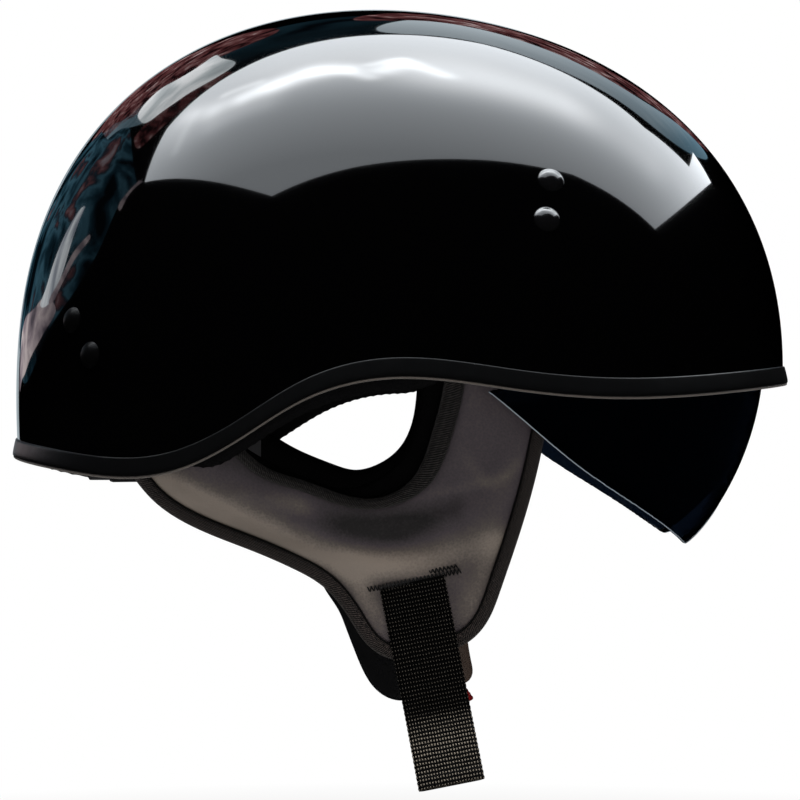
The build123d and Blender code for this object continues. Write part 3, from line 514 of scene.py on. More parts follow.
def cut_cloth(polygon, pitch, *holes):
    """Triangles of a pattern piece, with each place's distance to its edge."""
    low, high = polygon.min(0), polygon.max(0)
    rows = np.arange(low[1], high[1], pitch * 0.87)
    grid = []
    for row, z in enumerate(rows):
        across = np.arange(low[0] + pitch / 2 * (row % 2), high[0], pitch)
        grid.append(np.stack([across, np.full_like(across, z)], 1))
    top_x = np.arange(low[0] - 2, high[0] + 4, 2.0)
    top = np.stack([top_x, rim_height(top_x) + panel_lift], 1)
    spots, edges = [], []
    for loop in (polygon, *holes):
        start = len(spots)
        spots += loop.tolist()
        edges += [(start + at, start + (at + 1) % len(loop)) for at in range(len(loop))]
    start = len(spots)
    spots += top.tolist()
    edges += [(start + at, start + at + 1) for at in range(len(top) - 1)]
    border = np.array(spots)
    grid = np.concatenate(grid)
    gaps = [np.linalg.norm(part[:, None] - border, axis=2).min(1) for part in np.array_split(grid, 12)]
    clear = np.concatenate(gaps) > pitch * 0.45
    spots += grid[clear].tolist()
    made, _, faces, *_ = geometry.delaunay_2d_cdt([Vector(spot) for spot in spots], edges, [], 0, 1e-4)
    made = np.array([tuple(spot) for spot in made])
    faces = np.array(faces)
    middles = made[faces].mean(1)
    keep = within_outline(middles, polygon) & hangs(middles)
    for hole in holes:
        keep &= ~within_outline(middles, hole)
    faces = faces[keep]
    used = np.unique(faces)
    renumber = np.full(len(made), -1)
    renumber[used] = np.arange(len(used))
    made, faces = made[used], renumber[faces]
    count = {}
    for face in faces:
        for a, b in zip(face, np.roll(face, -1)):
            count.setdefault((min(a, b), max(a, b)), []).append((a, b))
    rim = [pairs[0] for pairs in count.values() if len(pairs) == 1]
    a, b = made[[pair[0] for pair in rim]], made[[pair[1] for pair in rim]]
    run = b - a
    length = (run**2).sum(1)
    reach = []
    for part in np.array_split(made, 10):
        share = np.clip(((part[:, None] - a) * run).sum(2) / length, 0, 1)
        reach.append(np.linalg.norm(part[:, None] - a - share[..., None] * run, axis=2).min(1))
    return made, faces, rim, np.concatenate(reach)


def layered(name, faces, rim, front, back, finish, slot):
    """Closed piece from a front, a back behind the same places and the edge between them."""
    count = len(front)
    behind = [tuple(int(at) + count for at in face[::-1]) for face in faces]
    sides = [(int(b), int(a), int(a) + count, int(b) + count) for a, b in rim]
    skins = [tuple(int(at) for at in face) for face in faces] + behind + sides
    return new_piece(name, np.concatenate([front, back]), skins, finish, slot)


def bell(gap, width):
    return np.exp(-((gap / width) ** 2))


def grown(reach, over):
    """From 0 at an edge towards 1 well inside it."""
    return 1 - np.exp(-reach / over)


def eased(place, middle, width):
    """From 0 well before a place to 1 well after it."""
    return 1 / (1 + np.exp(-(place - middle) / width))


def fold_height(spots, folds):
    """Height of soft folds, each a stroke with its width and height."""
    height = np.zeros(len(spots))
    for start, end, width, rise in folds:
        start, run = np.array(start, float), np.array(end, float) - np.array(start, float)
        share = ((spots - start) @ run) / (run @ run)
        bend = 2.0 * np.sin(share * 3.1 + start[0])
        off = ((spots - start) @ np.array([-run[1], run[0]])) / np.linalg.norm(run) - bend
        height += rise * bell(off, width) * np.exp(-(((share - 0.5) / 0.42) ** 4))
    x, z = spots.T
    broad = np.sin(x * 0.21 + z * 0.13 + 1.0) * np.sin(z * 0.17 - x * 0.07)
    return height + 0.12 * (broad + 0.5 * np.sin(x * 0.37 - z * 0.29))


def stroke_shade(spots, path, width, shades):
    """Painted light and shade of a broad soft stroke along a path, given at even steps of its run."""
    line = smooth_curve(path, 80)
    gap = np.linalg.norm(spots[:, None] - line, axis=2)
    along = np.interp(gap.argmin(1) / 79, np.linspace(0, 1, len(shades)), shades)
    return along * bell(gap.min(1), width)


def note(piece, values, name="painted_light"):
    """Stores a value for each point of a piece, such as how much painted light or shade it takes."""
    layer = piece.data.attributes.new(name, "FLOAT", "POINT")
    layer.data.foreach_set("value", np.asarray(values, np.float32))


panel_curve = smooth_curve(panel_edge, 260)
opening_curve = smooth_curve(opening_edge, 150)
collar_width = 3.5 + 3.1 * eased(opening_curve[:, 0], 3, 3.0)
field_edge = closed_by(beside(panel_curve, binding_width - 1.0), panel_corners)
field_hole = closed_by(beside(opening_curve, 1.0 - collar_width), opening_corner)
leather_finish = finished("panel_leather", (0.1, 0.085, 0.075), 0.5, 34, 0.4, 0.2, Sheen_Weight=0.08,
                          Sheen_Roughness=0.5)
tree = leather_finish.node_tree
# The painted light value carries the leather's colour from shaded to lit, with random stains and grain over
# it.
painted_lighting = add_node(tree, "Attribute", {}, attribute_name="painted_light").outputs["Fac"]
stains = noise(tree, object_place(tree), 26.0, 3.0)
grain = add_node(tree, "TexVoronoi", {"Vector": object_place(tree), "Scale": 1300.0}).outputs["Distance"]
depth = maths(tree, "MULTIPLY_ADD", stains, 0.22, painted_lighting)
depth = maths(tree, "MULTIPLY_ADD", grain, 0.16, depth)


def color_stops(tree, value, stops):
    """Colour that runs through stops, each a place and a colour."""
    tones = add_node(tree, "ValToRGB", {"Fac": value})
    elements = tones.color_ramp.elements
    for element, (place, color) in zip(elements, (stops[0], stops[-1])):
        element.position, element.color = place, (*color, 1)
    for place, color in stops[1:-1]:
        elements.new(place).color = (*color, 1)
    return tones.outputs[0]


# Leather colours from deep painted shade to painted light.
leather_shaded_to_lit = ((0.2, (0.018, 0.017, 0.018)), (0.52, (0.064, 0.052, 0.062)), (0.72, (0.105, 0.088, 0.08)),
                 (1.0, (0.23, 0.195, 0.165)))
shader = tree.nodes["Principled BSDF"]
tree.links.new(color_stops(tree, depth, leather_shaded_to_lit), shader.inputs["Base Color"])
pores = bump_normal(tree, grain, 0.00009, 0.55)
cloud = noise(tree, object_place(tree), 160.0, 4.0)
tree.links.new(bump_normal(tree, cloud, 0.0005, 0.6, Normal=pores), shader.inputs["Normal"])
spots, faces, rim, reach = cut_cloth(field_edge, 1.5, field_hole)
for hand, side in (("left", 1), ("right", -1)):
    folds = fold_height(spots, panel_folds) * grown(reach, 3)
    puffed = 0.4 * grown(reach, 7) + 1.15 * folds
    front = on_panel(spots, 0.25 + 0.8 * np.exp(-reach / 1.3) - puffed, side)
    back = on_panel(spots, np.full(len(spots), panel_skin), side)
    leather = layered("panel_skin_" + hand, faces, rim, front, back, leather_finish, "panel_leather")
    # Painted shade in the creases and beside the bindings, added to the painted strokes of light and shade.
    strokes = sum(stroke_shade(spots, *stroke) for stroke in painted_panel_light)
    shade = 0.33 + 0.07 * folds - 0.2 * np.exp(-reach / 1.2) + strokes
    note(leather, np.tile(np.clip(shade, 0, 1), 2))
    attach(leather, "root")
    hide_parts("ear_panel_" + hand)

# Panel linings: brushed fleece on the head's side. It reaches a little further into
# the ear opening than the binding does, so that no hard edge meets the ear.
lining_edge = (
    (-72, 5.5), (-53.2, -12.6), (-42.7, -19.3), (-27.1, -25.9), (-18.3, -28.2), (-9.4, -26.1),
    (-0.5, -19.6), (3.9, -11.9), (6.7, 3.1), (8.0, 26),
)
lining_thick = 2.6
fleece_finish = finished("panel_fleece", (0.0012, 0.0012, 0.0014), 0.5, 300, 0.9, 0.1, (1500, 4.0, 0.00035),
                         Specular_IOR_Level=0.1)
lining_hole = closed_by(smooth_curve(lining_edge, 130), opening_corner)
spots, faces, rim, reach = cut_cloth(field_edge, 2.0, lining_hole)
for hand, side in (("left", 1), ("right", -1)):
    rounding = 1.0 * np.exp(-reach / 0.9)
    quilt = 0.3 * grown(reach, 5)
    front = on_panel(spots, panel_skin + 0.02 + rounding, side)
    back = on_panel(spots, panel_skin + lining_thick - rounding + quilt, side)
    lining = layered("panel_fleece_" + hand, faces, rim, front, back, fleece_finish, "panel_fabric")
    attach(lining, "root")
    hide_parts("panel_lining_" + hand)

# Knitted bindings: a ribbed tape is folded over the panel's edge and sewn down, and a
# wider one rolls round the ear opening with its ribs across it.
hem_section = (
    (4.2, 0.5), (4.15, -0.1), (3.85, -0.5), (3.2, -0.78), (2.3, -0.9), (1.4, -0.82), (0.6, -0.5),
    (0.1, 0.1), (-0.15, 1.1), (-0.18, 2.6), (-0.15, 4.2), (0.1, 5.2), (0.7, 5.85), (1.7, 6.1), (2.9, 6.0),
    (3.9, 5.6), (4.2, 5.0),
)
collar_section = (
    (1.0, 0.7), (0.99, 0.1), (0.95, -0.35), (0.85, -0.68), (0.7, -0.85), (0.55, -0.92), (0.4, -0.9),
    (0.25, -0.72), (0.12, -0.35), (0.03, 0.2), (-0.02, 1.0), (-0.01, 1.9), (0.06, 2.5), (0.3, 2.6),
    (0.9, 2.6),
)


def chart_piece(piece, chart):
    """Gives a piece a flat chart in mm, one place for each point."""
    layer = piece.data.uv_layers.new(name="chart")
    corners = np.empty(len(piece.data.loops), dtype=np.int32)
    piece.data.loops.foreach_get("vertex_index", corners)
    layer.data.foreach_set("uv", np.asarray(chart, np.float32)[corners].ravel())


def sewn_strip(name, curve, widths, section, side, finish, pucker):
    """Strip of tape along a curve of the panel; its section is across and below the face."""
    along = run_length(curve)
    rings, chart = [], []
    spot_run = None
    pieces = [beside(curve, across * widths) for across, _ in section]
    for at in range(len(curve)):
        spots = np.array([piece[at] for piece in pieces])
        wave = 0.1 * pucker * math.sin(along[at] * 2 * math.pi / 2.7)
        depths = np.array([depth + (wave if depth < 0 else 0) for _, depth in section])
        rings.append(on_panel(spots, depths, side))
        if spot_run is None:
            spot_run = run_length(rings[0])
        chart += [(along[at], reach) for reach in spot_run]
    piece = new_piece(name, *ring_skin(rings), finish, "knit_binding")
    chart_piece(piece, chart)
    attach(piece, "root")
    return piece


knit, taken, given = new_group(
    "rib_knit", {"Pitch": 0.8, "Row": 0.9, "Slant": 0.3, "Depth": 0.0003}, ("Dark", "Light"),
    {"Color": "Color", "Normal": "Vector"},
)
chart = add_node(knit, "UVMap", {}, uv_map="chart").outputs[0]
fuzz = noise(knit, chart, 1.1, 5.0)
across, along, _ = add_node(knit, "SeparateXYZ", {0: chart}).outputs
slant = maths(knit, "MULTIPLY_ADD", along, taken["Slant"], across)
slant = maths(knit, "MULTIPLY_ADD", fuzz, 0.35, slant)


def wave_of(tree, value, pitch):
    turn = maths(tree, "MULTIPLY", maths(tree, "DIVIDE", value, pitch), 2 * math.pi)
    return maths(tree, "COSINE", turn)


def color_between(tree, share, dark, light):
    inputs = {"Factor": share, 6: dark, 7: light}
    return add_node(tree, "Mix", inputs, data_type="RGBA").outputs[2]


ribs = wave_of(knit, slant, taken["Pitch"])
rows = wave_of(knit, maths(knit, "ADD", along, fuzz), taken["Row"])
level = ranged(knit, maths(knit, "MULTIPLY_ADD", rows, 0.35, ribs), -1.3, 1.3)
tone = ranged(knit, maths(knit, "MULTIPLY", level, fuzz), 0.12, 0.55)
knit.links.new(color_between(knit, tone, taken["Dark"], taken["Light"]), given["Color"])
knit.links.new(bump_normal(knit, level, taken["Depth"]), given["Normal"])


def knit_material(name, **values):
    finish = new_material(name, Roughness=0.85, Sheen_Weight=0.06, Sheen_Roughness=0.5)
    feed_shader(finish, knit, values)
    return finish


hem_finish = knit_material("hem_knit", Pitch=0.75, Row=1.1, Slant=0.5, Dark=(0.005, 0.004, 0.004, 1),
                           Light=(0.052, 0.04, 0.036, 1), Depth=0.0002)
collar_finish = knit_material("collar_knit", Pitch=0.8, Row=1.3, Slant=0.9, Dark=(0.002, 0.002, 0.002, 1),
                              Light=(0.034, 0.03, 0.029, 1), Depth=0.0003)
# A thin black cord along each hem's inner edge makes the dark line there: partly a black cord, partly painted
# shade in the groove under the binding's edge.
dark_line_finish = finished("hem_dark_line", (0.003, 0.003, 0.003), 0.4, 600, 0.7, 0.15, (3000, 2.0, 0.0001))
cord_section = [(0.42 * math.cos(way), 0.05 + 0.42 * math.sin(way)) for way in circle(8)]
hem_line = panel_curve[hangs(panel_curve)]
collar_line = opening_curve[hangs(opening_curve)]
collar_span = collar_width[hangs(opening_curve)]
for hand, side in (("left", 1), ("right", -1)):
    hem = sewn_strip("panel_hem_" + hand, hem_line, 1.0, hem_section, side, hem_finish, 1.0)
    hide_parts("panel_binding_" + hand)
    inner_line = beside(hem_line, binding_width + 0.1)
    sewn_strip("hem_cord_" + hand, inner_line, 1.0, cord_section, side, dark_line_finish, 0.0)
    collar = sewn_strip("opening_collar_" + hand, collar_line, -collar_span, collar_section, side,
                        collar_finish, 0.6)
    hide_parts("opening_binding_" + hand)

# Right chin strap: black nylon webbing, sewn to the panel's face, which hangs free below
# the hem and has picked up a bend where it leaves the packing. Its end is folded over.
strap_tilt = math.radians(11.2)
strap_across = np.array([math.cos(strap_tilt), 0, math.sin(strap_tilt)])
strap_down = np.array([math.sin(strap_tilt), 0, -math.cos(strap_tilt)])
strap_top = np.array([3.75, 0, -58.0])
strap_width = 21.0
strap_thick = 1.7
fold_at = 25.2
fold_y = 88.99
free_length = 42.3
hem_length = 4.2
bend_at = 18.4
bend_turn = 0.5
face_points = 27
ring_points = 2 * face_points + 2
back_face_chart = 60


def webbing(name, path, outs, width, thick, finish, slot, across=strap_across, ends=None):
    """Flat woven strip on a path; outs are its outward ways and its chart is in mm."""
    along = run_length(path)
    thick = np.broadcast_to(thick, len(path))
    shares = np.concatenate([np.linspace(-1, 1, face_points), [1.0], np.linspace(1, -1, face_points), [-1.0]])
    faces_out = np.repeat((1.0, 0.0, -1.0, 0.0), (face_points, 1, face_points, 1))
    rounded = 1 - 0.45 * np.abs(shares) ** 14
    spread = np.where(faces_out == 0, shares * 1.012, shares * 0.995)
    rings, chart = [], []
    for at, (spot, out) in enumerate(zip(path, outs)):
        reach = spread * (width / 2 + 0.1 * math.sin(3.5 * along[at]))
        lift = faces_out * rounded * thick[at] / 2
        ring = spot + reach[:, None] * across + lift[:, None] * out
        if ends:
            ring[:, 2] += ends(at, reach)
        rings.append(ring)
        chart += [(where + back_face_chart * (way < 0), along[at]) for where, way in zip(reach, faces_out)]
    piece = new_piece(name, *ring_skin(rings), finish, slot)
    chart_piece(piece, chart)
    return piece


def strap_path(places, side):
    """Middle line of a strap: on the panel's face down to the fold, then hanging."""
    spots = strap_top + np.minimum(places, fold_at)[:, None] * strap_down
    lift = 1.15 + 1.85 * np.clip((places - 10) / (fold_at - 10), 0, 1) ** 2
    on_face = on_panel(spots[:, [0, 2]], -lift, 1)[:, 1]
    share = np.clip((places - 19) / (fold_at - 19), 0, 1)
    spots[:, 1] = on_face + (fold_y - on_face) * share**2 * (3 - 2 * share)
    return spots * (1, side, 1)


weave, taken, given = new_group(
    "webbing_weave", {"Across": 0.95, "Along": 1.35, "Depth": 0.0003}, ("Dark", "Light"),
    {"Color": "Color", "Normal": "Vector", "Roughness": "Float"},
)
chart = add_node(weave, "UVMap", {}, uv_map="chart").outputs[0]
stray = noise(weave, chart, 0.35, 3.0)
fibre = noise(weave, chart, 6.0, 3.0)
across, along, _ = add_node(weave, "SeparateXYZ", {0: chart}).outputs
run = maths(weave, "MULTIPLY_ADD", stray, 0.5, along)
wefts, warps = wave_of(weave, across, taken["Across"]), wave_of(weave, run, taken["Along"])
crossing = maths(weave, "MINIMUM", wefts, warps)
height = maths(weave, "MULTIPLY_ADD", fibre, 0.25, ranged(weave, crossing, -0.6, 1.0))
weave.links.new(bump_normal(weave, height, taken["Depth"]), given["Normal"])
# Painted shade on the webbing: a high value dims and thins the dots, and a low one leaves them bright as
# painted sheen.
painted_shade = add_node(weave, "Attribute", {}, attribute_name="painted_light").outputs["Fac"]
tone = maths(weave, "MULTIPLY_ADD", fibre, 0.5, crossing)
tone = ranged(weave, maths(weave, "MULTIPLY_ADD", painted_shade, -0.9, tone), 0.0, 0.8)
tone = maths(weave, "MULTIPLY", tone, maths(weave, "MULTIPLY_ADD", painted_shade, -0.6, 1.0))
weave.links.new(color_between(weave, tone, taken["Dark"], taken["Light"]), given["Color"])
weave.links.new(ranged(weave, fibre, 0.3, 0.7, 0.3, 0.5), given["Roughness"])


def woven(name, **values):
    finish = new_material(name, Sheen_Weight=0.004, Sheen_Roughness=0.35, Specular_IOR_Level=0.15)
    feed_shader(finish, weave, values)
    return finish


# The dots' light colour is pale so that it paints the nylon's sheen where the painted shade is low.
webbing_finish = woven("black_webbing", Dark=(0.0012, 0.0012, 0.0013, 1), Light=(0.27, 0.245, 0.205, 1),
                       Depth=0.00045)


def outward_ways(path, side):
    """Ways square to a path and to the strap's width, on the side away from the head."""
    outs = np.cross(strap_across, unit(np.gradient(path, axis=0)))
    return outs * np.sign(outs[0, 1]) * side


strap_step = 0.6
blend_from = 22.0
sewn_places = np.arange(0, fold_at + 0.01, strap_step)
sewn_path = strap_path(sewn_places, -1)
hang_places = np.arange(strap_step, free_length + 0.01, strap_step)
unbending = 0.003 * np.clip(hang_places - bend_at, 0, None)
turning = bend_turn * eased(hang_places, bend_at, 1.1) - unbending
down = np.cumsum(np.cos(turning)) * strap_step
out = np.cumsum(np.sin(turning)) * strap_step
hang_path = sewn_path[-1] + down[:, None] * strap_down - out[:, None] * (0, 1, 0)
path = np.concatenate([sewn_path, hang_path])
along = np.concatenate([sewn_places, fold_at + hang_places])
hem_start = fold_at + free_length - hem_length
thickness = strap_thick * (1 + 0.7 * eased(along, hem_start, 0.15))
right_strap = webbing("chin_webbing_right", path, outward_ways(path, -1), strap_width, thickness,
                      webbing_finish, "webbing")
# Painted sheen: the dots are shaded above the bend, brightest a little below it and a little dimmer again at
# the hem.
painted_sheen_ends = (bend_at - 1.2, bend_at + 0.6, bend_at + 9, free_length)
painted_shade = np.interp(along - fold_at, painted_sheen_ends, (0.8, 0.45, 0.0, 0.25))
note(right_strap, np.repeat(painted_shade, ring_points))
tuple(strap_path(np.array([blend_from]), -1)[0] / 1000)
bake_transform(right_strap)
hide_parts("strap_anchor_right", "chin_strap_right")

# Left chin strap: the same webbing, sewn to the left panel. Its tail goes round the bars
# of both D rings and is sewn back on itself.
eye_route = (
    (0, 0), (0, 4), (0.2, 8.5), (1.3, 11.6), (3.3, 13.5), (5.0, 14.6), (5.5, 16.2), (4.6, 18.0),
    (2.6, 18.7), (0, 18.8), (-2.6, 18.7), (-4.6, 18.0), (-5.5, 16.2), (-5.0, 14.6), (-3.3, 13.3),
    (-2.0, 11.2), (-1.75, 8.5), (-1.75, 5.0),
)
sewn_path = strap_path(sewn_places, 1)
route = smooth_curve(eye_route, 84)[1:]
tail = sewn_path[-1] + route[:, :1] * (0, 1, 0) + route[:, 1:] * strap_down
path = np.concatenate([sewn_path, tail])
thickness = np.interp(np.arange(len(path)), (len(sewn_path), len(sewn_path) + 20), (strap_thick, 1.25))
left_strap = webbing("chin_webbing_left", path, outward_ways(path, 1), strap_width, thickness,
                     webbing_finish, "webbing")
# The left strap takes the same painted shade all along.
note(left_strap, np.full(ring_points * len(path), 0.85))
tuple(strap_path(np.array([blend_from]), 1)[0] / 1000)
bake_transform(left_strap)
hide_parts("strap_anchor_left", "chin_strap_left")

# Stitching in black thread: a zig-zag bar across the top of each strap, and a line of
# lockstitch along each binding of the panels.
thread_finish = finished("black_thread", (0.004, 0.004, 0.0045), 0.4, 800, 0.5, 0.2, (4000, 2.0, 0.00006),
                         Sheen_Weight=0.1)


def stitches(name, pairs, thickness, ways_out, body):
    """Short threads between pairs of points, arched along the ways out of the cloth."""
    skins = []
    for (start, end), way in zip(pairs, ways_out):
        run = end - start
        length = np.linalg.norm(run)
        run = run / length
        rings = []
        for share, size in ((0.0, 0.25), (0.12, 0.8), (0.35, 1.0), (0.65, 1.0), (0.88, 0.8), (1.0, 0.25)):
            arch = thickness * (0.9 * math.sin(math.pi * share) - 0.25)
            middle = start + run * length * share + way * arch
            rings += turned_rings([(thickness * size, 0)], middle, run, 6)
        skins.append(ring_skin(rings))
    piece = new_piece(name, *several(skins), thread_finish, "webbing")
    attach(piece, body)
    return piece


def face_way(spots, side):
    x, _ = spots.T
    bow = 2 * (x - panel_crest_x) / panel_bow
    ways = np.stack([bow, np.full(len(x), side), np.full(len(x), -panel_lean)], 1)
    return unit(ways)


def zig_zag(first, last, high, low, waver):
    """Zig-zag points across the strap's top, with their places across it."""
    places = np.arange(first, last, 0.62)
    drop = np.where(np.arange(len(places)) % 2 == 0, high, low) + 0.15 * np.sin(places * waver)
    return strap_top + places[:, None] * strap_across + drop[:, None] * strap_down, places


bars = (zig_zag(-14.3, 16.4, -1.1, 1.0, 5.1), zig_zag(6.0, 15.6, -2.5, -0.9, 4.3))
seams = (beside(hem_line, binding_width - 0.9), beside(collar_line, -collar_span + 0.9))
stitch_pitch, stitch_length = 2.7, 1.9
for hand, side in (("left", 1), ("right", -1)):
    pairs, ways = [], []
    for run, places in bars:
        flat = run[:, [0, 2]]
        below_top = run[:, 2] < strap_top[2] + places * math.sin(strap_tilt)
        on_strap = (np.abs(places) < strap_width / 2) & below_top
        spots = on_panel(flat, np.where(on_strap, -2.1, -0.55), side)
        pairs += list(zip(spots[:-1], spots[1:]))
        ways += list(face_way(flat, side)[:-1])
    stitches("strap_tack_" + hand, pairs, 0.27, ways, "root")
    pairs, ways = [], []
    for seam in seams:
        along = run_length(seam)
        for mark in np.arange(0.5, along[-1] - 2.6, stitch_pitch):
            flat = np.stack([np.interp([mark, mark + stitch_length], along, line) for line in seam.T], 1)
            pairs.append(tuple(on_panel(flat, np.full(2, -0.62), side)))
            ways.append(face_way(flat, side)[0])
    stitches("binding_seam_" + hand, pairs, 0.17, ways, "root")

# Chin guard: a soft flap of the same leather with thin foam in it, sewn behind the left
# panel. It hangs behind the D rings and keeps them off the chin.
guard_outline = (
    (-33, -70), (-36, -62), (-10, -57), (26, -60), (23.5, -75), (22.8, -79.5), (24.2, -84.5), (26.0, -89.6),
    (27.2, -97), (28.6, -105), (29.0, -109.5), (27.4, -112.4), (24.4, -113.8), (12, -117.0), (-0.8, -120.2),
    (-4.6, -119.2), (-10.4, -115.0), (-14.9, -108.0), (-18.2, -100.2), (-21.5, -91.5), (-24.3, -84.5),
    (-29.5, -76.5),
)
# The guard's leather is painted dark and bluish as shade, and is mixed towards brown on its right side as
# painted light.
shaded_guard_leather = finished("guard_leather_painted_light", (0.0045, 0.005, 0.0065), 0.5, 40, 0.4, 0.2, (700, 6.0, 0.00018),
                        Sheen_Weight=0.008, Sheen_Roughness=0.5)
tree = shaded_guard_leather.node_tree
base = tree.nodes["Principled BSDF"].inputs["Base Color"]
painted_lighting = add_node(tree, "Attribute", {}, attribute_name="painted_light").outputs["Fac"]
tree.links.new(color_between(tree, painted_lighting, base.links[0].from_socket, (0.07, 0.046, 0.034, 1)), base)
guard_edge = smooth_curve([*guard_outline, guard_outline[0]], 150)[:-1]
spots, faces, rim, reach = cut_cloth(guard_edge, 1.9)
lower = np.clip((-84 - spots[:, 1]) / 12, 0, 1)
lower = lower**2 * (3 - 2 * lower)
middle_y = on_panel(spots, 7.35, 1)[:, 1] * (1 - lower) + 81.4 * lower
half = 1.5 * grown(reach + 0.25, 1.1) + 0.25 * grown(reach, 5)
guard_folds = (
    ((-28, -80), (18, -86), 2.4, -0.35), ((-14, -96), (8, -112), 3.5, 0.35),
    ((6, -92), (24, -106), 3.0, -0.3),
)
wander = fold_height(spots, guard_folds)
front, back = [np.stack([spots[:, 0], level, spots[:, 1]], 1)
               for level in (middle_y + half + wander, middle_y - half + wander * 0.5)]
guard = layered("guard_flap", faces, rim, front, back, shaded_guard_leather, "panel_leather")
# Painted light, growing towards the flap's right side.
note(guard, np.tile(eased(spots[:, 0], 19, 2.5), 2))
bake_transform(guard)
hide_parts("guard_anchor", "chin_guard")

# D rings: bent and welded from steel wire with a bright nickel plate. Both hang by their
# bars in the left strap's eye.
ring_finish = finished("nickel_wire", (0.62, 0.6, 0.57), 0.12, 90, 0.2, 0.15, (500, 3.0, 0.00003),
                       Metallic=1.0)
dress(ring_finish, "d_ring_inner", "d_ring_outer")

# Pull tab: red tape folded round the outer ring and sewn, which is pulled to loosen the
# strap. Its cut end has begun to fray.
tab_swing = math.radians(24.0)
ring_drop, ring_spread, ring_side, ring_half = 16.0, 2.8, 4.0, 13.6
tab_centre = np.array([8.645, fold_y + ring_spread, -82.72]) + strap_across * ring_half * math.sin(tab_swing)
tab_centre += strap_down * (ring_drop + ring_side + ring_half * math.cos(tab_swing))
tab_across = strap_across * math.cos(tab_swing) - strap_down * math.sin(tab_swing)
tab_down = strap_down * math.cos(tab_swing) + strap_across * math.sin(tab_swing)
tab_route = (
    (0.62, 11.2), (0.6, 7), (0.75, 4), (1.75, 2.2), (2.5, 0.6), (2.1, -1.5), (0, -2.6), (-2.1, -1.5),
    (-2.5, 0.6), (-1.75, 2.2), (-0.75, 4), (-0.6, 7), (-0.62, 10.6),
)
tab_points = 70
route = smooth_curve(tab_route, tab_points)
path = tab_centre + route[:, :1] * (0, 1, 0) + route[:, 1:] * tab_down
outs = np.cross(tab_across, unit(np.gradient(path, axis=0)))
tape_finish = woven("red_tape", Across=0.7, Along=0.9, Depth=0.0002, Dark=(0.16, 0.003, 0.004, 1),
                    Light=(0.5, 0.012, 0.014, 1))


def frayed(at, reach):
    """How far threads stand out at the tape's two cut ends."""
    return (0.5 * np.sin(reach * 5.3) + 0.35 * np.sin(reach * 11.7)) * (at in (0, tab_points - 1))


pull_tab = webbing("red_tab", path, outs, 7.0, 0.95, tape_finish, "red_webbing", tab_across, frayed)
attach(pull_tab, "tab")
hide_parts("pull_tab")

# Liner skirts: the brushed fabric edge of the liner, gathered in small scallops, which
# hangs a little below the rim over each ear and behind the head.
skirt_section = (
    (5.6, 1.0), (5.6, 0.55), (5.75, 0.25), (6.3, 0.07), (7.2, 0.0), (8.4, 0.02), (9.3, 0.12), (9.75, 0.4),
    (9.8, 0.8), (9.8, 1.0),
)
skirt_top = 6.4
skirt_finish = finished("skirt_fleece", (0.003, 0.003, 0.0035), 0.6, 400, 0.92, 0.1, (1600, 5.0, 0.0005),
                        Specular_IOR_Level=0.1)
skirts = (("left", 81.5, 125.0, 5.6, 3.3), ("right", 235.0, 278.5, 5.6, 3.3),
          ("rear", 139.0, 221.0, 2.8, 9.0))
for name, first, last, drop, pitch in skirts:
    ways = np.radians(np.linspace(first, last, 300))
    middle = skin(tilt_at_rim(ways, 7.7, 0.0), ways, 7.7)
    along = run_length(middle)
    ending = np.clip(np.minimum(along, along[-1] - along) / 16.0, 0, 1)
    depth_below = drop * ending * (2 - ending) - 0.28 * np.abs(np.sin(math.pi * along / pitch))
    columns = []
    for depth, share in skirt_section:
        rise = -depth_below + share * (skirt_top + depth_below)
        columns.append(skin(tilt_at_rim(ways, depth, rise), ways, depth))
    skirt = new_piece("skirt_" + name, *ring_skin(list(np.stack(columns, 1))), skirt_finish, "comfort_fabric")
    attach(skirt, "root")
    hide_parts("liner_skirt_" + name)

# Comfort pads: knitted fabric over soft foam, puffed between their sewn edges. They are
# pressed into the foam liner with hook tape.
pad_voxel = 0.0036
pad_pressure = 4.0
pad_frames = 20
pad_swell = 0.0022
pad_finish = finished("pad_knit", (0.014, 0.014, 0.016), 0.5, 200, 0.85, 0.1, (1300, 3.0, 0.0004),
                      Sheen_Weight=0.12, Sheen_Roughness=0.5)


def apply_modifiers(piece):
    """Puts what a piece's modifiers make into its mesh, and clears them."""
    seen = piece.evaluated_get(bpy.context.evaluated_depsgraph_get())
    piece.data = bpy.data.meshes.new_from_object(seen)
    piece.modifiers.clear()


def point_array(mesh):
    flat = np.empty(3 * len(mesh.vertices), np.float32)
    mesh.vertices.foreach_get("co", flat)
    return flat.reshape(-1, 3).astype(float)


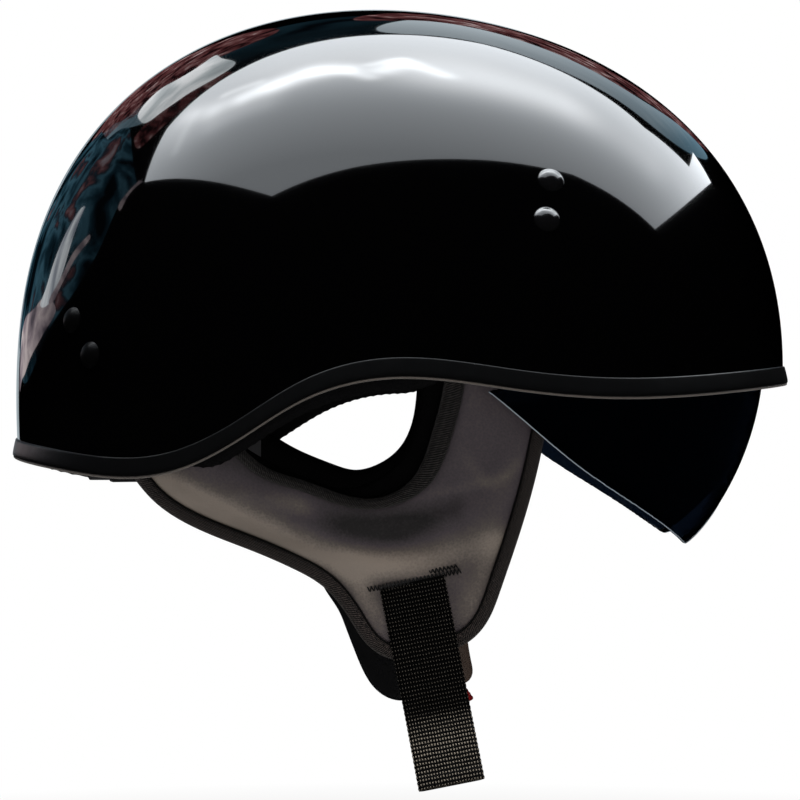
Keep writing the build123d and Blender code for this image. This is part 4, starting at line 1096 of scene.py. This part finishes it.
for node in ("crown_pad", "brow_pad", "side_pad_left", "side_pad_right", "rear_pad"):
    piece = bpy.data.objects.new(node + "_cover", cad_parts[node].data.copy())
    scene.collection.objects.link(piece)
    remesh = piece.modifiers.new("remesh", "REMESH")
    remesh.mode = "VOXEL"
    remesh.voxel_size = pad_voxel
    apply_modifiers(piece)
    smooth = piece.modifiers.new("smooth", "SMOOTH")
    smooth.iterations = 4
    apply_modifiers(piece)
    before = point_array(piece.data)
    cloth = piece.modifiers.new("cloth", "CLOTH")
    cloth.settings.quality = 4
    cloth.settings.use_pressure = True
    cloth.settings.uniform_pressure_force = pad_pressure
    cloth.settings.effector_weights.gravity = 0.0
    cloth.point_cache.frame_end = pad_frames
    for step in range(1, pad_frames + 1):
        scene.frame_set(step)
    apply_modifiers(piece)
    scene.frame_set(1)
    moved = point_array(piece.data) - before
    far = np.linalg.norm(moved, axis=1)[:, None]
    settled = before + moved * np.minimum(1, pad_swell / np.maximum(far, 1e-9))
    piece.data.vertices.foreach_set("co", settled.astype(np.float32).ravel())
    rounding = piece.modifiers.new("rounding", "SUBSURF")
    rounding.levels = 1
    apply_modifiers(piece)
    piece.data.shade_smooth()
    piece.data.materials.clear()
    piece.data.materials.append(pad_finish)
    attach(piece, "root")
    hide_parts(node)

# Foam liner: moulded from expanded beads, which show as a fine cell pattern in its
# black skin.
foam_finish = finished("bead_foam", (0.012, 0.012, 0.013), 0.4, 120, 0.7, 0.15)
tree = foam_finish.node_tree
cells = add_node(tree, "TexVoronoi", {"Vector": object_place(tree), "Scale": 330.0},
                 feature="DISTANCE_TO_EDGE")
beads = bump_normal(tree, ranged(tree, cells.outputs[0], 0.0, 0.12), 0.0003, 0.6)
tree.links.new(beads, tree.nodes["Principled BSDF"].inputs["Normal"])
dress(foam_finish, "impact_liner")

# Visor pivots: a moulded bracket, a nylon washer and a blackened steel screw on each
# side. The visor's lever is moulded in the same black plastic.
moulded_finish = finished("moulded_black", (0.012, 0.012, 0.013), 0.3, 150, 0.5, 0.15, (1800, 3.0, 0.00008))
washer_finish = finished("washer_nylon", (0.3, 0.29, 0.26), 0.1, 150, 0.42, 0.1, (900, 2.0, 0.00003),
                         Subsurface_Weight=0.15)
screw_finish = finished("black_zinc_screw", (0.09, 0.09, 0.095), 0.3, 400, 0.36, 0.15, (900, 2.0, 0.00002),
                        Metallic=1.0)
dress(moulded_finish, "visor_lever", *both("pivot_bracket"))
dress(washer_finish, *both("pivot_washer"))
dress(screw_finish, *both("pivot_screw"))

# Dial fit: a moulded housing and cover, two satin nylon bands with racks, their guides,
# and a rubbery knob on a nylon pinion.
band_finish = finished("band_nylon", (0.032, 0.032, 0.035), 0.2, 120, 0.34, 0.12, (700, 2.0, 0.00004))
knob_finish = finished("knob_rubber", (0.02, 0.02, 0.023), 0.3, 200, 0.6, 0.15, (2200, 3.0, 0.0001))
pinion_finish = finished("pinion_nylon", (0.34, 0.33, 0.3), 0.1, 150, 0.38, 0.1, (900, 2.0, 0.00002),
                         Subsurface_Weight=0.1)
dress(moulded_finish, "adjuster_housing", "adjuster_cover", *both("band_guide"))
dress(band_finish, *both("fit_band"))
dress(knob_finish, "dial_knob")
dress(pinion_finish, "dial_pinion")

# Sun visor: one moulded lens in dark smoke, 2 mm thick, with a lobe for each eye and
# an arch over the nose. Its arms run up inside the shell to the pivots.
pivot_x, pivot_z = 25.7, 18.5
visor_wall = 2.0
visor_profile = (
    (104.7, 0), (103.7, 15), (100.6, 30), (95.3, 45), (86.2, 60), (77.8, 70), (67.0, 80), (52.2, 90),
    (42.4, 95), (28.5, 100), (20.0, 101.8), (12.0, 102.6),
)
visor_lower_edge = ((19.7, 8.5), (28.6, 1.8), (55.0, -20.0), (88.9, -42.7), (99.2, -50.4))
visor_nose_edge = ((0, -35.0), (9, -36.5), (18, -43.8), (27, -49.4), (35, -50.6), (46, -49.2), (60, -44.5))
visor_upper_edge = ((19.7, 29.5), (26.7, 29.5), (70.7, 21.5), (110.7, 27.5), (145.7, 35.5))
hub_radius = 12.5
hub_faces = (100.6, 102.6)
visor_columns = 150
visor_rows = 56
half_profile = np.array([(radius, aside) for radius, aside in visor_profile], float)
mirror_profile = np.concatenate([half_profile[::-1] * (1, -1), half_profile[1:]])
whole_profile = smooth_curve(mirror_profile, 2 * visor_columns + 1)[4:-4]
lower_x, lower_z = np.array(visor_lower_edge).T
lower_bends = natural_spline(lower_x, lower_z)
nose_y, nose_z = np.array(visor_nose_edge).T
nose_bends = natural_spline(nose_y, nose_z)
angles = np.linspace(-1.6, 1.2, 1401)
profile_runs = unit(np.gradient(whole_profile, axis=0))
visor_rings = []
for (radius, aside), (run_radius, run_aside) in zip(whole_profile, profile_runs):
    x, z = pivot_x + radius * np.cos(angles), pivot_z + radius * np.sin(angles)
    lowest = np.where(x < visor_lower_edge[-1][0], spline_at(lower_x, lower_z, lower_bends, x), -60.0)
    if abs(aside) < visor_nose_edge[-1][0]:
        lowest = np.maximum(lowest, spline_at(nose_y, nose_z, nose_bends, abs(aside)))
    highest = np.interp(x, *np.array(visor_upper_edge).T)
    inside = np.flatnonzero((z > lowest) & (z < highest) & (x > pivot_x - 6))
    first, last = angles[inside[0]], angles[inside[-1]]
    spread = np.linspace(first, last, visor_rows)
    loop = []
    for inset, way in ((0.0, spread), (visor_wall, spread[::-1])):
        r = radius - inset * abs(run_aside)
        y = aside + inset * run_radius * np.sign(run_aside)
        loop.append(np.stack([pivot_x + r * np.cos(way), np.full_like(way, y), pivot_z + r * np.sin(way)], 1))
    visor_rings.append(np.concatenate(loop))
lens_finish = finished("smoke_lens", (0.0022, 0.0042, 0.0085), 0.1, 20, 0.015, 0.01,
                       Transmission_Weight=1.0, IOR=1.58, Coat_Weight=0.6, Coat_Roughness=0.01)
hub_profile = [(0.3, hub_faces[0]), *[(hub_radius, face) for face in hub_faces], (0.3, hub_faces[1])]
hub_centre = np.array([pivot_x, 0, pivot_z])
hubs = [ring_skin(turned_rings(hub_profile, hub_centre, (0, side, 0), 48)) for side in (1, -1)]
sun_visor = new_piece("visor_lens", *several([ring_skin(visor_rings), *hubs]), lens_finish, "smoke_lens")
edge_round = sun_visor.modifiers.new("edge_round", "BEVEL")
edge_round.width = 0.0007
edge_round.segments = 3
edge_round.limit_method = "ANGLE"
edge_round.angle_limit = math.radians(50)
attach(sun_visor, "visor")
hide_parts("sun_visor")

# A thin pale tube just inside the lens's edge paints the highlight that the edge catches.
highlight_inset, highlight_radius = 0.35, 0.2
visor_rings = np.array(visor_rings)
highlight_line = visor_rings[:, 0] + highlight_inset * unit(visor_rings[:, 1] - visor_rings[:, 0])
highlight_runs = unit(np.gradient(highlight_line, axis=0))
highlight_rings = [turned_rings([(highlight_radius, 0)], spot, run, 8)[0] for spot, run in zip(highlight_line, highlight_runs)]
lens_highlight_finish = finished("lens_edge_painted_highlight", (0.3, 0.36, 0.42), 0.3, 300, 0.3, 0.1, (900, 2.0, 0.00002),
                      Coat_Weight=0.4)
lens_highlight = new_piece("lens_edge_painted_highlight", *ring_skin(highlight_rings), lens_highlight_finish, "smoke_lens")
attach(lens_highlight, "visor")

# Studio: a pale floor that runs out to white, a large overhead softbox and a few
# cards that only the gloss of the helmet sees, in a dark room.
floor_height = -0.36
floor_reach = 9.0
room_height = 2.4
room_reach = 6.4
world = bpy.data.worlds.new("studio")
world.use_nodes = True
scene.world = world
tree = world.node_tree
rays = tree.nodes.new("ShaderNodeLightPath").outputs
seen = maths(tree, "MAXIMUM", rays["Is Camera Ray"], rays["Is Transmission Ray"])
seen = maths(tree, "MAXIMUM", seen, rays["Is Glossy Ray"])
background = tree.nodes["Background"].inputs
background["Color"].default_value = (1, 1, 1, 1)
tree.links.new(ranged(tree, seen, 0.0, 1.0, 0.1), background["Strength"])


def stage_piece(name, points, faces, finish, glossy_only=True):
    """Piece of the studio; most of them are seen in the gloss only."""
    mesh = bpy.data.meshes.new(name)
    mesh.from_pydata(points, [], faces)
    mesh.materials.append(finish)
    piece = bpy.data.objects.new(name, mesh)
    scene.collection.objects.link(piece)
    if glossy_only:
        for sight in ("camera", "diffuse", "transmission", "shadow", "volume_scatter"):
            setattr(piece, "visible_" + sight, False)
    return piece


def square(reach):
    return (-reach, -reach), (reach, -reach), (reach, reach), (-reach, reach)


floor_finish = new_material("floor_paper", Roughness=0.9, Specular_IOR_Level=0.1,
                            Base_Color=(0.86, 0.86, 0.86, 1))
tree = floor_finish.node_tree
distance = add_node(tree, "VectorMath", {0: object_place(tree)}, operation="LENGTH").outputs["Value"]
white = add_node(tree, "Emission", {"Color": (1, 1, 1, 1), "Strength": 1.0}).outputs[0]
paper = tree.nodes["Principled BSDF"].outputs[0]
mixed = add_node(tree, "MixShader", {0: ranged(tree, distance, 0.5, 1.3), 1: paper, 2: white}).outputs[0]
tree.links.new(mixed, tree.nodes["Material Output"].inputs["Surface"])
floor_points = [(x, y, floor_height) for x, y in square(floor_reach)]
stage_piece("floor", floor_points, [(0, 1, 2, 3)], floor_finish, glossy_only=False)

dark_finish = new_material("dark_room", Roughness=1.0, Specular_IOR_Level=0.0, Base_Color=(0.0, 0.0, 0.0, 1))
room_points = [(x, y, z) for z in (floor_height + 0.004, room_height) for x, y in square(room_reach)]
room_faces = [(0, 1, 2, 3), (4, 5, 6, 7), (0, 1, 5, 4), (1, 2, 6, 5), (2, 3, 7, 6), (3, 0, 4, 7)]
stage_piece("dark_room", room_points, room_faces, dark_finish)


def glow_material(name):
    """Material with only an output, and its node tree."""
    finish = bpy.data.materials.new(name)
    finish.use_nodes = True
    tree = finish.node_tree
    tree.nodes.remove(tree.nodes["Principled BSDF"])
    return finish, tree


def shine(tree, color, strength=1.0):
    glow = add_node(tree, "Emission", {"Color": color, "Strength": strength}).outputs[0]
    tree.links.new(glow, tree.nodes["Material Output"].inputs["Surface"])


softbox_height = 0.9
softbox_corners = (
    (-1.0, -0.03), (-0.36, -0.74), (-0.05, -0.60), (0.27, -0.47), (0.56, -0.37), (1.25, -0.315), (1.27, 1.17),
    (1.02, 1.19), (1.06, 0.75), (0.73, 0.52), (0.2, 0.525), (0.0, 0.455), (-0.15, 0.40), (-0.35, 0.32),
    (-0.70, 0.20),
)
crumples = (
    (-0.58, 0.15, -0.48, 0.05, 0.06, 1.2), (-0.47, 0.05, -0.36, 0.035, 0.055, 1.3),
    (-0.36, 0.03, -0.24, 0.045, 0.045, 2.6), (-0.26, 0.035, -0.14, 0.08, 0.055, 3.2),
    (-0.15, 0.075, -0.07, 0.07, 0.04, 3.4), (-0.08, 0.06, -0.02, 0.0, 0.022, 2.8),
    (0.005, 0.05, 0.05, 0.125, 0.032, 3.4), (0.05, 0.125, 0.13, 0.06, 0.026, 2.8),
    (0.13, 0.05, 0.42, 0.12, 0.12, 1.9), (-0.42, 0.13, -0.3, 0.11, 0.02, 1.3),
    (-0.02, 0.1, 0.05, 0.165, 0.014, 1.8), (0.3, 0.05, 0.85, 0.16, 0.16, 0.7),
    (-0.5, -0.06, -0.3, -0.07, 0.06, 0.7), (-0.2, 0.2, 0.3, 0.26, 0.16, 0.45),
    (-0.6, 0.08, 0.1, 0.1, 0.17, 1.1), (-0.72, -0.05, -0.55, 0.12, 0.03, 0.5),
)
sides = zip(np.array(softbox_corners), np.roll(softbox_corners, -1, 0))
softbox_edge = np.concatenate([np.linspace(start, end, 14)[:-1] for start, end in sides])
spots, faces, _, _ = cut_cloth(softbox_edge, 0.014)
level = 1.5 + 1.75 * np.clip((spots[:, 1] + 0.5) / 0.85, 0, 1)
for x, y, far_x, far_y, width, rise in crumples:
    start, run = np.array([x, y]), np.array([far_x - x, far_y - y])
    share = np.clip(((spots - start) @ run) / (run @ run), 0, 1)
    off = np.linalg.norm(spots - start - share[:, None] * run, axis=1)
    level = np.maximum(level, level + rise * bell(off, width))
softbox_glow, tree = glow_material("softbox_glow")
brightness = add_node(tree, "Attribute", {}, attribute_name="brightness").outputs["Fac"]
cool = ranged(tree, brightness, 2.4, 4.5)
shine(tree, color_between(tree, cool, (0.92, 0.98, 1.04, 1), (0.95, 0.99, 1.03, 1)), brightness)
softbox = stage_piece("softbox", [(x, y, softbox_height) for x, y in spots], faces.tolist(), softbox_glow)
note(softbox, level, "brightness")

# Windows high behind the helmet and a streaked wall far behind its back, which the
# shell shows along its top edge and down its rear.


def cloudy_glow(name, scale, stretch, stops):
    """Glow whose colour runs through stops along a cloudy pattern."""
    finish, tree = glow_material(name)
    turned = add_node(tree, "Mapping", {"Vector": object_place(tree), "Scale": stretch}).outputs[0]
    shine(tree, color_stops(tree, noise(tree, turned, scale, 4.0, Distortion=0.5), stops))
    return finish


def card(name, axis, level, finish, edge):
    """Card cut to a closed smooth edge, square to an axis of the room at a level."""
    edge = smooth_curve([*edge, edge[0]], 12 * len(edge))[:-1]
    points = np.insert(edge, "xyz".index(axis), level, axis=1).tolist()
    stage_piece(name, points, [tuple(range(len(edge)))], finish)


daylight = cloudy_glow("daylight_glow", 2.2, (1, 1, 1),
                       ((0.25, (0.75, 0.85, 0.9)), (0.45, (1.3, 1.4, 1.45)), (0.6, (2.0, 2.05, 2.1))))
dim_daylight = cloudy_glow("dim_daylight_glow", 1.6, (1, 1, 1),
                           ((0.3, (0.02, 0.06, 0.09)), (0.6, (0.2, 0.3, 0.36))))
brick = cloudy_glow("brick_glow", 9.0, (1, 0.5, 1), ((0.38, (0.01, 0.003, 0.004)),
                                                     (0.5, (0.12, 0.034, 0.037)), (0.6, (0.22, 0.1, 0.1)),
                                                     (0.7, (0.6, 0.45, 0.45)),))
card("brick_strip", "z", 1.63, brick, (
    (-1.6, 1.0), (-1.3, 0.98), (-1.07, 0.9), (-0.9, 0.85), (-0.73, 0.8), (-0.71, 0.53), (-0.9, 0.5),
    (-1.1, 0.53), (-1.35, 0.56), (-1.6, 0.64),
))
edge_glow = cloudy_glow("edge_glow", 0.7, (1, 1, 1), ((0.3, (0.2, 0.27, 0.31)), (0.6, (0.5, 0.56, 0.6))))
card("edge_light", "y", 6.3, edge_glow, (
    (0.3, 0.25), (-2.8, -0.3), (-2.7, 0.7), (-2.2, 1.5), (-1.4, 2.0), (-0.5, 2.25), (0.4, 2.25),
))
long_glow, tree = glow_material("long_window_glow")
cloud = noise(tree, object_place(tree), 1.6, 2.0, Distortion=1.2)
along = add_node(tree, "SeparateXYZ", {0: object_place(tree)}).outputs[0]
share = ranged(tree, maths(tree, "ADD", along, maths(tree, "MULTIPLY_ADD", cloud, 0.5, -0.25)), 0.4, 1.75)
shine(tree, color_between(tree, share, (0.78, 0.9, 0.98, 1), (0.16, 0.29, 0.38, 1)))
dusk = cloudy_glow("dusk_glow", 1.5, (1, 1, 1), ((0.4, (0.001, 0.003, 0.005)), (0.65, (0.012, 0.035, 0.05))))
card("window", "z", 1.6, daylight, (
    (-1.43, 1.3), (-1.40, 1.58), (-1.29, 1.7), (-1.18, 1.72), (-1.01, 1.52), (-0.86, 1.47), (-0.76, 1.6),
    (-0.71, 1.3), (-0.71, 0.76), (-0.78, 0.74), (-0.87, 0.75), (-0.97, 0.78), (-1.07, 0.80), (-1.19, 0.85),
    (-1.34, 0.93),
))
card("window_low", "z", 1.62, dim_daylight, (
    (-1.2, 1.6), (-1.55, 2.0), (-1.70, 2.62), (-1.90, 3.2), (-2.10, 4.1), (-2.25, 3.3), (-2.05, 2.52),
    (-1.82, 2.13), (-1.67, 1.82), (-1.53, 1.3), (-1.36, 1.0),
))
card("window_brick", "z", 1.62, brick, (
    (-2.1, 4.4), (-1.73, 5.2), (-1.44, 5.8), (-1.18, 5.0), (-0.96, 4.0), (-0.74, 3.3), (-0.72, 1.4),
    (-0.87, 1.43), (-1.01, 1.45), (-1.18, 1.6), (-1.38, 1.6), (-1.62, 2.0), (-1.85, 2.4),
))
card("dusk_gap", "z", 1.64, dusk, (
    (-0.74, 2.3), (-0.27, 2.15), (-0.07, 2.23), (0.06, 1.85), (0.06, 0.95), (-0.09, 0.86), (-0.45, 0.74),
    (-0.6, 0.69),
))
card("long_window", "z", 1.6, long_glow, (
    (0.08, 1.75), (0.22, 1.9), (0.33, 1.92), (0.54, 1.9), (0.95, 2.0), (1.35, 2.7), (1.85, 4.2),
    (1.74, 1.85), (1.26, 1.27), (0.96, 1.18), (0.66, 1.08), (0.43, 1.08), (0.23, 1.04), (0.1, 0.98),
))
card("brick_edge", "z", 1.62, brick, (
    (0.06, 3.0), (0.22, 3.3), (0.42, 3.6), (0.67, 3.7), (0.95, 3.9), (1.4, 5.0), (1.85, 6.0), (1.6, 3.4),
    (1.1, 2.1), (0.95, 1.68), (0.54, 1.52), (0.33, 1.7), (0.22, 1.8), (0.08, 1.7),
))
wall_glow = cloudy_glow("streaked_wall_glow", 1.1, (1, 1.0, 2.6), (
    (0.38, (0.001, 0.003, 0.005)), (0.47, (0.012, 0.04, 0.06)), (0.55, (0.05, 0.13, 0.18)),
    (0.6, (0.012, 0.02, 0.03)), (0.66, (0.14, 0.06, 0.065)), (0.75, (0.3, 0.27, 0.3)),
))
card("streaked_wall", "x", -1.86, wall_glow, (
    (0.14, 1.59), (0.2, 1.3), (0.14, 0.91), (0.34, 0.57), (0.79, 0.34), (1.30, 0.17), (2.38, 0.05),
    (4.31, 0.19), (5.4, 0.5), (5.13, 0.9), (4.5, 1.3), (3.53, 1.66), (1.6, 1.9),
))
streak_glow = cloudy_glow("streak_glow", 3.2, (1, 1.6, 0.7),
                          ((0.3, (0.12, 0.17, 0.24)), (0.48, (0.55, 0.6, 0.68)), (0.62, (1.2, 1.27, 1.32))))
card("streak_high", "x", -1.8, streak_glow, (
    (0.95, 1.02), (1.04, 1.00), (1.16, 0.86), (1.23, 0.72), (1.29, 0.58), (1.36, 0.45), (1.5, 0.38),
    (1.10, 0.38), (0.89, 0.49), (0.84, 0.62), (0.86, 0.72), (0.89, 0.82),
))
rosy_glow = cloudy_glow("rosy_glow", 3.0, (1, 0.5, 2.5),
                        ((0.32, (0.1, 0.085, 0.11)), (0.48, (0.4, 0.33, 0.36)), (0.64, (0.72, 0.62, 0.62))))
card("streak_low", "x", -1.79, rosy_glow, (
    (0.48, 0.87), (0.62, 0.77), (0.74, 0.66), (0.84, 0.54), (0.95, 0.47), (1.1, 0.39), (0.93, 0.40),
    (0.81, 0.47), (0.70, 0.56), (0.63, 0.64), (0.51, 0.75), (0.43, 0.86),
))
card("rosy_wall", "x", -1.82, rosy_glow, (
    (3.6, 0.25), (3.05, 0.30), (1.77, 0.36), (0.94, 0.40), (0.81, 0.37), (1.06, 0.27), (1.45, 0.19),
    (1.91, 0.13), (2.41, 0.08), (3.04, 0.05), (3.63, 0.14),
))
card("streak_thin", "x", -1.8, rosy_glow, (
    (0.14, 1.58), (0.19, 1.38), (0.17, 1.21), (0.12, 1.20), (0.13, 1.38), (0.08, 1.61),
))


# Lamps: a broad soft key high over the near side, and a faint warm one low in front.
# Neither shows in the gloss, where the softbox and the cards stand for them.
def area_lamp(name, place, target, size, power, color):
    """Rectangular lamp aimed at a point; it is seen neither by the camera nor in the gloss."""
    lamp = bpy.data.lights.new(name, "AREA")
    lamp.shape = "RECTANGLE"
    lamp.size, lamp.size_y = size
    lamp.energy = power
    lamp.color = color
    holder = bpy.data.objects.new(name, lamp)
    scene.collection.objects.link(holder)
    holder.location = place
    holder.rotation_euler = (Vector(target) - Vector(place)).to_track_quat("-Z", "Y").to_euler()
    holder.visible_glossy = False
    holder.visible_camera = False


area_lamp("key", (-0.05, -0.56, 1.3), (0, -0.09, -0.05), (0.7, 0.26), 29, (1.0, 0.96, 0.91))
area_lamp("low_fill", (0.3, -1.1, -0.2), (0, -0.09, -0.07), (0.5, 0.3), 0.8, (1.0, 0.9, 0.84))
